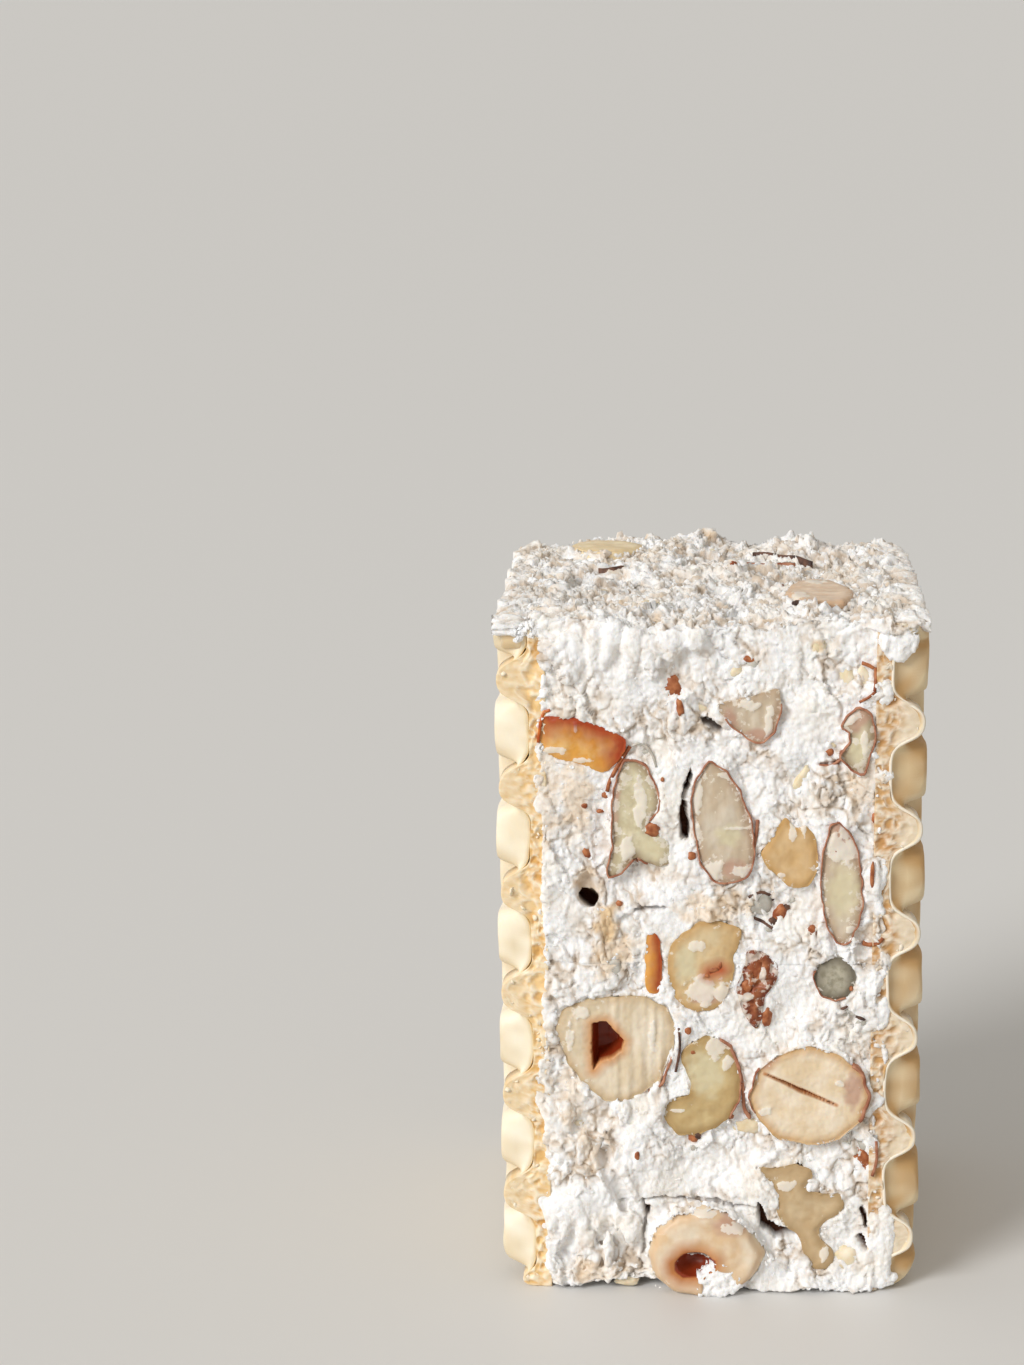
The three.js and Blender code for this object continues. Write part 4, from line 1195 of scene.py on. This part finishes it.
def lump(base, uneven, shift):
    """A mesh about one unit wide, round and uneven, made from a cube or a ball."""
    bm = bmesh.new()
    if base == "cube":
        bmesh.ops.create_cube(bm, size=1.0)
        bmesh.ops.subdivide_edges(bm, edges=bm.edges[:], cuts=1, use_grid_fill=True)
    else:
        bmesh.ops.create_icosphere(bm, subdivisions=3, radius=0.5)
    for v in bm.verts:
        v.co = 0.5 * v.co.normalized() * (1 + uneven * noise.noise(v.co * 3.2 + Vector((9 * shift, 0, 0))))
    mesh = bpy.data.meshes.new("lump")
    bm.to_mesh(mesh)
    bm.free()
    return mesh


CRUMBS = [lump("cube", 0.9, i) for i in range(6)]


def stamp(bm, shape, at, size, turn):
    """Adds one crumb at a place, with a size for each axis and a turn, all in millimetres."""
    copy = shape.copy()
    copy.transform(Matrix.LocRotScale(at * MM, turn, Vector(size) * MM))
    bm.from_mesh(copy)
    bpy.data.meshes.remove(copy)


def any_turn():
    """A turn at random."""
    axis = Vector([chance.gauss(0, 1) for _ in range(3)])
    return Matrix.Rotation(chance.uniform(0, 6.28), 3, axis).to_quaternion()


# %% The foam at the cut edges


def strew_bubbles(length, wafer):
    """Seeded bubbles along one bar of foam: place along it, distance into the sheet and radius."""
    found = []
    for _ in range(round(2.4 * length * wafer["bubbles"])):
        into = 4.6 * chance.random() ** 1.4
        radius = chance.uniform(0.35, 1.4) * (1 - 0.08 * into)
        bubble = Vector((chance.uniform(0, length), into, 0))
        if all((bubble - other).length > 0.8 * (radius + size) for other, size in found):
            found.append((bubble, radius))
    return found


def foam_bar(wafer, along, edge, inwards):
    """One bar of foam. along is y or z, edge is where the saw went, inwards points into the sheet."""
    length = TOP - 0.5 if along == "z" else BACK - FRONT - 1.4
    found = strew_bubbles(length, wafer)
    tree = KDTree(len(found))
    for i, (bubble, _) in enumerate(found):
        tree.insert(bubble, i)
    tree.balance()
    bm = bmesh.new()
    bmesh.ops.create_grid(bm, x_segments=round(length / 0.2), y_segments=26, size=0.5)
    bubble_shade_layer = bm.verts.layers.float.new("bubble_shade")
    crest_layer = bm.verts.layers.float.new("crest")
    for v in bm.verts:
        s = (v.co.x + 0.5) * length
        share = v.co.y + 0.5
        y, z = (edge, s) if along == "z" else (FRONT + 0.7 + s, edge)
        width = stands_out(y, z, wafer) - wafer["edge"] + (0.6 if wafer["edge"] == SHELL else 0.5)
        into = share * width - 0.5
        p = Vector((wafer["side"] * (INNER + into), y, z))
        here = Vector((s, into, 0)) + 0.5 * noise.noise_vector(p / 1.1)
        ratio = min((here - bubble).length / found[i][1] for bubble, i, _ in tree.find_n(here, 4))
        bubble_pit = min(max(2.2 * (1 - ratio), 0), 1)
        crumb = noise.fractal(Vector((p.x / 1.1, p.y / 0.7, p.z / 0.7)), 0.8, 2.0, 3)
        far = min(max((into - 1.6 - 1.2 * noise.noise(p / 2.5)) / 1.4, 0), 1)
        wall = min(max(1 - abs(ratio - 1.08) / 0.16, 0), 1)
        soft = max(bubble_pit * (1 - 0.4 * far), 0.55 + (1.0 - 0.5 * far) * crumb)
        # 0 on a wall, 1 in a bubble: how much of the bubble's painted shade and glow a vertex gets.
        v[bubble_shade_layer] = min(max(soft - 0.5 * wall, 0), 1)
        v[crest_layer] = far
        rim = min(1, 5 * (1 - share) + 0.1)
        relief = (0.3 * bubble_pit + 0.2 * crumb - 0.06 * wall) * (1 - 0.5 * far)
        v.co = (p + inwards * (0.1 + rim * relief)) * MM
    drawn = bmesh.ops.extrude_face_region(bm, geom=bm.faces[:])["geom"]
    for v in (g for g in drawn if isinstance(g, bmesh.types.BMVert)):
        flat = (edge + 3.2 * (inwards.y + inwards.z)) * MM
        if along == "z":
            v.co.y = flat
        else:
            v.co.z = flat
    bmesh.ops.recalc_face_normals(bm, faces=bm.faces)
    return bm


for name, wafer in WAFERS.items():
    finish_piece(name + "_skin", wafer_skin(wafer), wafer["skin"], [name])
    foam = bmesh.new()
    pour(foam_bar(wafer, "z", FRONT, Vector((0, 1, 0))), foam)
    pour(foam_bar(wafer, "z", BACK, Vector((0, -1, 0))), foam)
    pour(foam_bar(wafer, "y", TOP - 0.5, Vector((0, 0, -1))), foam)
    pour(foam_bar(wafer, "y", 0.0, Vector((0, 0, 1))), foam)
    for _ in range(wafer["crumbs"]):
        face_y, z = chance.choice((FRONT, BACK)), chance.uniform(1, TOP - 1)
        into = stands_out(face_y, z, wafer) - SHELL - 0.3 - 1.2 * chance.random() ** 2
        size = 0.3 + 0.7 * chance.random() ** 2
        at = Vector((wafer["side"] * (INNER + max(into, 0)), face_y + math.copysign(0.25, -face_y), z))
        stamp(foam, chance.choice(CRUMBS), at, (size, 0.5 * size, 1.2 * size), any_turn())
    finish_piece(name + "_foam", foam, wafer["foam"], [name])

# %% [markdown]
# ## Loose crumbs
#
# Torn nougat is covered in crumbs, which gather along the edges of the nuts and over the top. Six crumb
# shapes are made once, each from a cube whose faces are split in four and pushed about, and stamped, turned
# and scaled at random. A ray cast at the block finds the surface, so each crumb lies on it and is partly
# buried. Their faces stay flat, because smooth shading would turn small crumbs into pearls.

# %% Find the surface


def surface_at(u, v, face):
    """Where a ray straight into a face meets the nougat, or None where it falls deep into a nut's well."""
    hit = nougat_tree.ray_cast(on_face(u, v, face, 4) * MM, -OUT[face])[0]
    if hit is None or LEVEL[face] - (hit / MM).dot(OUT[face]) > 2.2:
        return None
    return hit / MM


# %% Strew the crumbs
crumbs = bmesh.new()
AREAS = [("front", -19.6, 19.6, 0.8, TOP - 0.4, 900), ("back", -19.6, 19.6, 0.8, TOP - 0.4, 900),
         ("top", -19.6, 19.6, FRONT + 0.6, BACK - 0.6, 1500)]
for face, low_u, high_u, low_v, high_v, count in AREAS:
    for _ in range(count):
        u = chance.uniform(low_u, high_u)
        w = chance.uniform(low_v, high_v)
        spot = surface_at(u, w, face)
        if spot is None or inside_nut(spot, face) > -0.2 or noise.noise(spot / 5) < chance.uniform(-0.6, 0.15):
            continue
        size = 0.3 + (0.9 if face == "top" else 0.6) * chance.random() ** 2.5
        bury = OUT[face] * size * chance.uniform(0.15, 0.35)
        stamp(crumbs, chance.choice(CRUMBS), spot - bury, (size, size * 0.8, size * 0.55), any_turn())
for node, face, _, _ in NUTS:
    loop = RIMS[node]
    for p, away in zip(loop, outward(loop, OUT[face])):
        if chance.random() < 0.24 and face != "under" and noise.noise(p / 2.5 + Vector((3, 3, 3))) > 0.0:
            size = 0.25 + 0.5 * chance.random() ** 2
            at = p + away * chance.uniform(0.1, 0.7) - OUT[face] * chance.uniform(0.3, 0.6)
            stamp(crumbs, chance.choice(CRUMBS), at, (size, size * 0.8, size * 0.55), any_turn())
finish_piece("nougat_crumbs", crumbs, nougat_material, smooth=False)

# %% [markdown]
# ### Nougat on the wafers
#
# Sawing drags crumbs over the ends of the wafers and along the line where nougat and wafer meet.

# %% Heap crumbs
heaps = bmesh.new()
for _ in range(160):
    side = chance.choice((-1, 1))
    name = "wafer_left" if side < 0 else "wafer_right"
    y = chance.uniform(FRONT + 0.3, BACK - 0.3)
    size = 0.4 + 1.0 * chance.random() ** 2
    width = stands_out(y, TOP, WAFERS[name])
    x = side * (INNER - 0.3 + (width - 0.2) * chance.random() ** (0.8 if side < 0 else 2.2))
    stamp(heaps, chance.choice(CRUMBS), Vector((x, y, TOP - 0.1 * size)), (size, size, size * 0.6), any_turn())
for _ in range(40):
    side = chance.choice((-1, 1))
    z = chance.uniform(0.8, TOP - 0.5)
    size = 0.4 + 0.5 * chance.random() ** 2
    x = side * (INNER + chance.uniform(-0.6, 0.5))
    stamp(heaps, chance.choice(CRUMBS), Vector((x, FRONT + 0.15, z)), (size, size * 0.7, size), any_turn())
for _ in range(30):
    size = 0.4 + 0.8 * chance.random()
    at = Vector((-INNER - chance.uniform(-0.3, 3.6), FRONT + 0.1, TOP - chance.uniform(0.4, 2.6)))
    stamp(heaps, chance.choice(CRUMBS), at, (size, size * 0.7, size), any_turn())
finish_piece("nougat_heaps", heaps, nougat_material, smooth=False)

# %% [markdown]
# ## Bits of nut, skin and peel
#
# Between the big nuts the nougat is full of fragments. Each is a lump flattened against the face and half
# buried, or a thin curl of skin that stands on edge. They are grouped by what they are, one piece to a
# material, because nobody picks them up one by one.

# %% Fragments
LUMPS = [lump("ball", 0.3, i) for i in range(4)]
BITS = {  # u, v, width, height and turn on the face, in millimetres and degrees
    "brown": [
        ("front", -4.4, 77.6, 2.5, 2.9, 20), ("front", -3.6, 75.4, 0.9, 2.2, 10), ("front", -6.9, 60.1, 1.8, 1.9, 0),
        ("front", -15.0, 56.9, 0.9, 1.7, 30), ("front", 14.2, 69.6, 1.3, 0.9, 0), ("front", 19.8, 61.4, 0.9, 1.3, 0),
        ("front", 19.5, 54.6, 0.5, 3.6, 0), ("front", -1.9, 20.3, 1.4, 1.6, 0), ("front", 19.0, 17.4, 2.2, 3.6, 12),
        ("front", 8.5, 49.4, 1.6, 2.3, -25), ("front", 12.4, 47.4, 1.0, 1.4, 20), ("front", -11.0, 50.5, 0.9, 0.8, 0),
        ("front", 5.6, 42.4, 2.0, 2.0, 0), ("front", 7.4, 40.6, 1.6, 2.4, 20), ("front", 6.2, 38.4, 1.7, 2.2, -20),
        ("front", 6.9, 36.2, 1.5, 2.8, 0), ("front", 4.6, 40.2, 1.3, 1.5, 0), ("front", -2.2, 56.8, 1.1, 1.2, 0),
        ("front", -12.6, 64.2, 0.9, 0.9, 0), ("front", -5.7, 66.4, 0.5, 0.6, 0), ("front", -15.1, 62.9, 0.8, 0.6, 0),
        ("front", -13.2, 62.1, 1.0, 0.5, 0), ("front", 0.5, 42.3, 1.4, 0.7, 20), ("front", 1.3, 42.9, 0.6, 1.1, 0),
        ("front", -0.3, 41.5, 0.6, 0.5, 0), ("front", 4.6, 81.0, 1.5, 0.8, -20),
        ("front", -8.9, 18.2, 0.6, 1.1, 0), ("front", 2.6, 23.0, 0.9, 0.8, 0), ("front", -2.6, 34.5, 0.9, 0.9, 0),
        ("front", -2.0, 31.6, 0.8, 0.7, 0), ("front", 15.2, 57.6, 0.5, 0.8, 0), ("front", 17.2, 40.0, 0.5, 0.7, 0),
        ("top", -17.1, 16.4, 1.4, 1.5, 0), ("top", 3.0, 4.5, 0.9, 0.7, 0), ("top", 9.0, 2.0, 0.7, 0.8, 0),
        ("back", 14.2, 52.0, 1.6, 2.4, 20), ("back", -2.0, 66.0, 2.0, 1.5, 0), ("back", -16.0, 28.0, 1.4, 2.6, 30),
        ("back", 2.0, 44.0, 1.2, 2.0, 0), ("back", 16.0, 33.0, 1.5, 1.2, 0), ("back", -4.0, 9.0, 1.8, 1.3, 0),
        ("back", 4.0, 15.0, 0.9, 1.6, 40), ("back", -13.0, 54.0, 1.0, 1.5, 0), ("back", 6.0, 80.0, 1.5, 1.0, 0),
    ],
    "cream": [
        ("front", -1.1, 75.2, 2.0, 1.9, 0), ("front", 3.0, 79.6, 1.7, 1.3, 20), ("front", 12.8, 82.4, 1.9, 2.1, 0),
        ("front", 16.3, 78.5, 2.4, 3.4, 15), ("front", 18.3, 78.7, 1.8, 2.9, 10), ("front", 10.9, 66.2, 1.2, 3.8, -28),
        ("front", 4.8, 21.5, 3.4, 2.0, 0), ("front", 17.2, 4.3, 3.8, 3.2, 0), ("front", 14.6, 70.7, 1.5, 1.4, 0),
        ("front", -16.2, 22.0, 1.6, 1.1, 0), ("front", -10.2, 0.9, 3.0, 1.4, 0), ("front", 9.2, 22.3, 1.2, 0.9, 0),
        ("top", -4.2, -0.8, 4.8, 3.4, 20), ("top", -7.3, -11.8, 3.0, 2.6, 0), ("top", 5.8, -14.8, 2.2, 5.5, -30),
        ("top", 15.4, 3.4, 2.4, 2.2, 0), ("top", 0.5, 19.5, 1.8, 6.0, 10), ("top", -17.5, -7.0, 1.6, 6.0, 0),
        ("top", -14.0, -2.0, 2.4, 2.0, 0), ("top", 9.0, 9.0, 2.2, 2.0, 0), ("top", -1.0, -18.0, 2.0, 1.8, 0),
        ("back", 15.0, 44.0, 3.0, 2.2, 0), ("back", -3.0, 35.0, 2.4, 1.6, 30), ("back", -16.5, 64.0, 2.0, 3.0, 0),
        ("back", 3.0, 69.0, 2.6, 2.2, 0), ("back", 0.0, 6.0, 2.6, 1.8, 0), ("back", 16.5, 6.0, 2.2, 2.8, 0),
        ("back", -5.0, 50.0, 1.8, 2.4, 0), ("back", -14.5, 80.0, 3.4, 1.8, 0), ("back", 13.0, 81.5, 2.0, 1.6, 0),
    ],
    "grey": [
        ("front", 6.2, 50.6, 3.2, 2.6, 15), ("front", 5.3, 80.4, 2.0, 1.1, -20), ("front", -1.8, 18.8, 1.9, 2.0, 0),
        ("front", 19.2, 19.2, 1.8, 1.4, 0), ("front", -11.6, 42.4, 2.0, 2.2, 0),
        ("front", 17.0, 36.8, 2.6, 1.0, 0), ("front", 18.6, 35.6, 1.6, 0.9, 20), ("front", 9.9, 50.9, 1.2, 0.9, 0),
        ("front", -12.0, 55.2, 1.3, 2.2, 25), ("front", -7.9, 69.3, 2.2, 1.0, 0), ("front", 7.4, 47.4, 1.5, 1.0, 0),
        ("top", 2.0, 12.9, 1.8, 3.0, 0), ("top", -9.0, 2.0, 1.4, 3.0, 0),
        ("back", -16.0, 47.0, 1.8, 1.6, 0), ("back", 5.0, 59.0, 1.6, 1.4, 0), ("back", -3.0, 20.0, 1.6, 1.2, 0),
    ],
    "dark": [
        ("front", 7.7, 48.4, 1.2, 1.0, 0), ("front", 7.2, 50.9, 1.5, 0.6, 20), ("front", -1.4, 20.5, 0.8, 0.9, 0),
        ("front", 18.4, 36.3, 1.4, 0.4, -20), ("front", 16.4, 37.5, 1.2, 0.35, 30), ("front", 9.3, 50.1, 0.9, 0.8, 0),
        ("top", 10.3, -16.0, 1.0, 0.9, 0), ("back", -9.0, 57.0, 1.2, 0.6, 30), ("back", 8.0, 27.0, 1.4, 0.5, 0),
    ],
}
FRAGMENTS = {"brown": BROWN, "cream": CREAM, "grey": GREY, "dark": DARK}
for kind, rows in BITS.items():
    bm = bmesh.new()
    for i, (face, u, v, wide, high, turn) in enumerate(rows):
        ground = surface_at(u, v, face)
        thick = 0.3 * min(wide, high) + 0.4
        level = ground.dot(OUT[face]) - LEVEL[face] if ground else 0.0
        at = on_face(u, v, face, level + (0.3 if kind in ("brown", "dark") else 0.12) - 0.5 * thick)
        size = (wide, thick, high) if face in ("front", "back") else (wide, high, thick)
        stamp(bm, LUMPS[i % len(LUMPS)], at, size, Matrix.Rotation(math.radians(turn), 3, OUT[face]).to_quaternion())
    finish_piece("bits_" + kind, bm, FRAGMENTS[kind])

# %% Curls of skin
CURLS = [  # face, thickness, then points in u and v
    ("front", 0.35, [(-19.2, 75.0), (-19.9, 74.8), (-20.4, 74.0), (-20.8, 70.9)], RIND),
    ("front", 0.45, [(-9.8, 70.4), (-11.0, 68.6), (-12.3, 66.2), (-12.6, 64.8)], BROWN),
    ("front", 0.28, [(-9.4, 70.4), (-8.6, 70.9), (-7.6, 70.4), (-6.7, 69.2), (-6.3, 67.8)], GREY),
    ("front", 0.4, [(5.9, 61.3), (5.8, 59.6), (5.5, 58.0), (5.4, 56.2)], SKIN),
    ("front", 0.4, [(2.7, 32.5), (3.5, 30.6), (4.0, 29.0), (4.4, 26.6), (4.4, 24.0), (5.2, 22.8)], SKIN),
    ("front", 0.3, [(3.5, 28.0), (3.2, 26.4), (3.5, 25.2)], GREY),
    ("front", 0.35, [(18.0, 80.7), (18.7, 80.5), (19.4, 80.1)], BROWN),
    ("front", 0.35, [(19.7, 80.0), (19.8, 78.8), (19.6, 77.3)], BROWN),
    ("front", 0.3, [(19.5, 77.4), (18.6, 76.5), (17.6, 76.0)], BROWN),
    ("front", 0.45, [(18.6, 45.8), (19.4, 45.6), (20.2, 46.0), (20.8, 46.6)], BROWN),
    ("front", 0.3, [(-3.9, 34.9), (-3.7, 32.0), (-4.3, 29.0)], DARK),
    ("front", 0.3, [(4.6, 51.6), (6.0, 52.4), (7.4, 51.8)], DARK),
    ("front", 0.3, [(5.2, 49.0), (6.6, 48.4), (7.8, 47.6)], DARK),
    ("front", 0.3, [(13.0, 68.1), (14.4, 68.0), (15.6, 68.9), (16.4, 70.2)], SKIN),
    ("front", 0.3, [(16.9, 24.0), (17.5, 21.8), (17.4, 19.5)], GREY),
    ("front", 0.35, [(20.7, 20.2), (20.9, 17.6), (20.3, 15.4)], SKIN),
    ("front", 0.3, [(-0.5, 5.0), (-0.2, 5.6), (0.6, 5.3)], BROWN),
    ("top", 0.7, [(2.9, 14.4), (5.5, 12.8), (8.4, 11.6), (11.1, 11.2)], SKIN),
    ("top", 0.35, [(5.8, 18.6), (8.6, 17.4), (11.2, 15.9), (13.4, 13.4)], DARK),
    ("top", 0.4, [(-14.4, 7.4), (-12.6, 6.4), (-11.0, 7.2)], DARK),
    ("back", 0.35, [(12.0, 60.0), (13.4, 58.0), (13.8, 55.6)], SKIN),
    ("back", 0.35, [(-3.0, 62.0), (-1.0, 62.8), (1.4, 61.9)], SKIN),
    ("back", 0.3, [(-17.0, 36.0), (-16.2, 33.5), (-16.6, 31.4)], BROWN),
]
for material in (SKIN, BROWN, GREY, DARK, RIND):
    bm = bmesh.new()
    for face, thick, points, own in CURLS:
        if own is material:
            line = [Vector((u, v)) for u, v in points]
            fine = [a.lerp(b, k / 6) for a, b in zip(line, line[1:]) for k in range(6)] + [line[-1]]
            for _ in range(6):
                fine = fine[:1] + [(a + b * 2 + c) / 4 for a, b, c in zip(fine, fine[1:], fine[2:])] + fine[-1:]
            grounds = [surface_at(q.x, q.y, face) for q in fine]
            levels = [max(g.dot(OUT[face]) - LEVEL[face], -0.6) if g else 0.1 for g in grounds]
            for _ in range(10):
                levels = [(a + b * 2 + c) / 4 for a, b, c in zip(levels[:1] + levels, levels, levels[1:] + levels[-1:])]
            rise = 0.4 if face == "top" else 0.15
            ring = [on_face(q.x, q.y, face, level + rise) for q, level in zip(fine, levels)]
            curl = bmesh.new()
            strip(curl, ring, OUT[face], thick)
            pour(curl, bm)
    finish_piece("curls_of_" + material.name, bm, material)

# %% [markdown]
# ## Stage, light and camera
#
# The bar stands on a pale smooth floor under soft daylight from the front left, a little above the bar. A
# sun with a wide disc gives that even light with soft shadows, and the pale world fills the shade.

# %% Floor
bm = bmesh.new()
bmesh.ops.create_grid(bm, x_segments=1, y_segments=1, size=200.0)
mesh = bpy.data.meshes.new("floor")
bm.to_mesh(mesh)
bm.free()
floor = bpy.data.objects.new("floor", mesh)
bpy.context.scene.collection.objects.link(floor)
floor_material, tree = new_material("pale_smooth_floor")
paint = add(tree, "BsdfPrincipled", {"Base Color": "#DCDBD9", "Roughness": 0.5})
add(tree, "OutputMaterial", {"Surface": paint.outputs[0]})
mesh.materials.append(floor_material)

# %% Light
SUN_FROM = Vector((-0.5, -0.5, 0.42))
sun_data = bpy.data.lights.new("window_light", "SUN")
sun_data.energy = 2.3
sun_data.angle = math.radians(25)
sun = bpy.data.objects.new("window_light", sun_data)
bpy.context.scene.collection.objects.link(sun)
sun.rotation_euler = (-SUN_FROM).to_track_quat("-Z", "Y").to_euler()

world = bpy.data.worlds.new("pale_room")
world.use_nodes = True
world.node_tree.nodes["Background"].inputs["Color"].default_value = linear("#F3EFE8")
world.node_tree.nodes["Background"].inputs["Strength"].default_value = 0.55
bpy.context.scene.world = world
bpy.context.scene.view_settings.view_transform = "Standard"

# %% Camera
# The focal length, the place and the three angles of the camera, measured from the middle of the bar.
FOCAL_PX = 2866
FRAME_LONG_PX = 1365
CAMERA_AT = Vector((-1.25, FRONT - 332.15, 159.3))
CAMERA_YAW = math.radians(3.86)
CAMERA_PITCH = math.radians(13.68)
CAMERA_ROLL = math.radians(-0.82)

camera_data = bpy.data.cameras.new("camera")
camera_data.sensor_width = 36
camera_data.lens = 36 * FOCAL_PX / FRAME_LONG_PX
camera = bpy.data.objects.new("camera", camera_data)
bpy.context.scene.collection.objects.link(camera)
turn = Matrix.Rotation(CAMERA_YAW, 4, "Z") @ Matrix.Rotation(math.pi / 2 - CAMERA_PITCH, 4, "X")
camera.matrix_world = Matrix.Translation(CAMERA_AT * MM) @ turn @ Matrix.Rotation(CAMERA_ROLL, 4, "Z")
bpy.context.scene.camera = camera
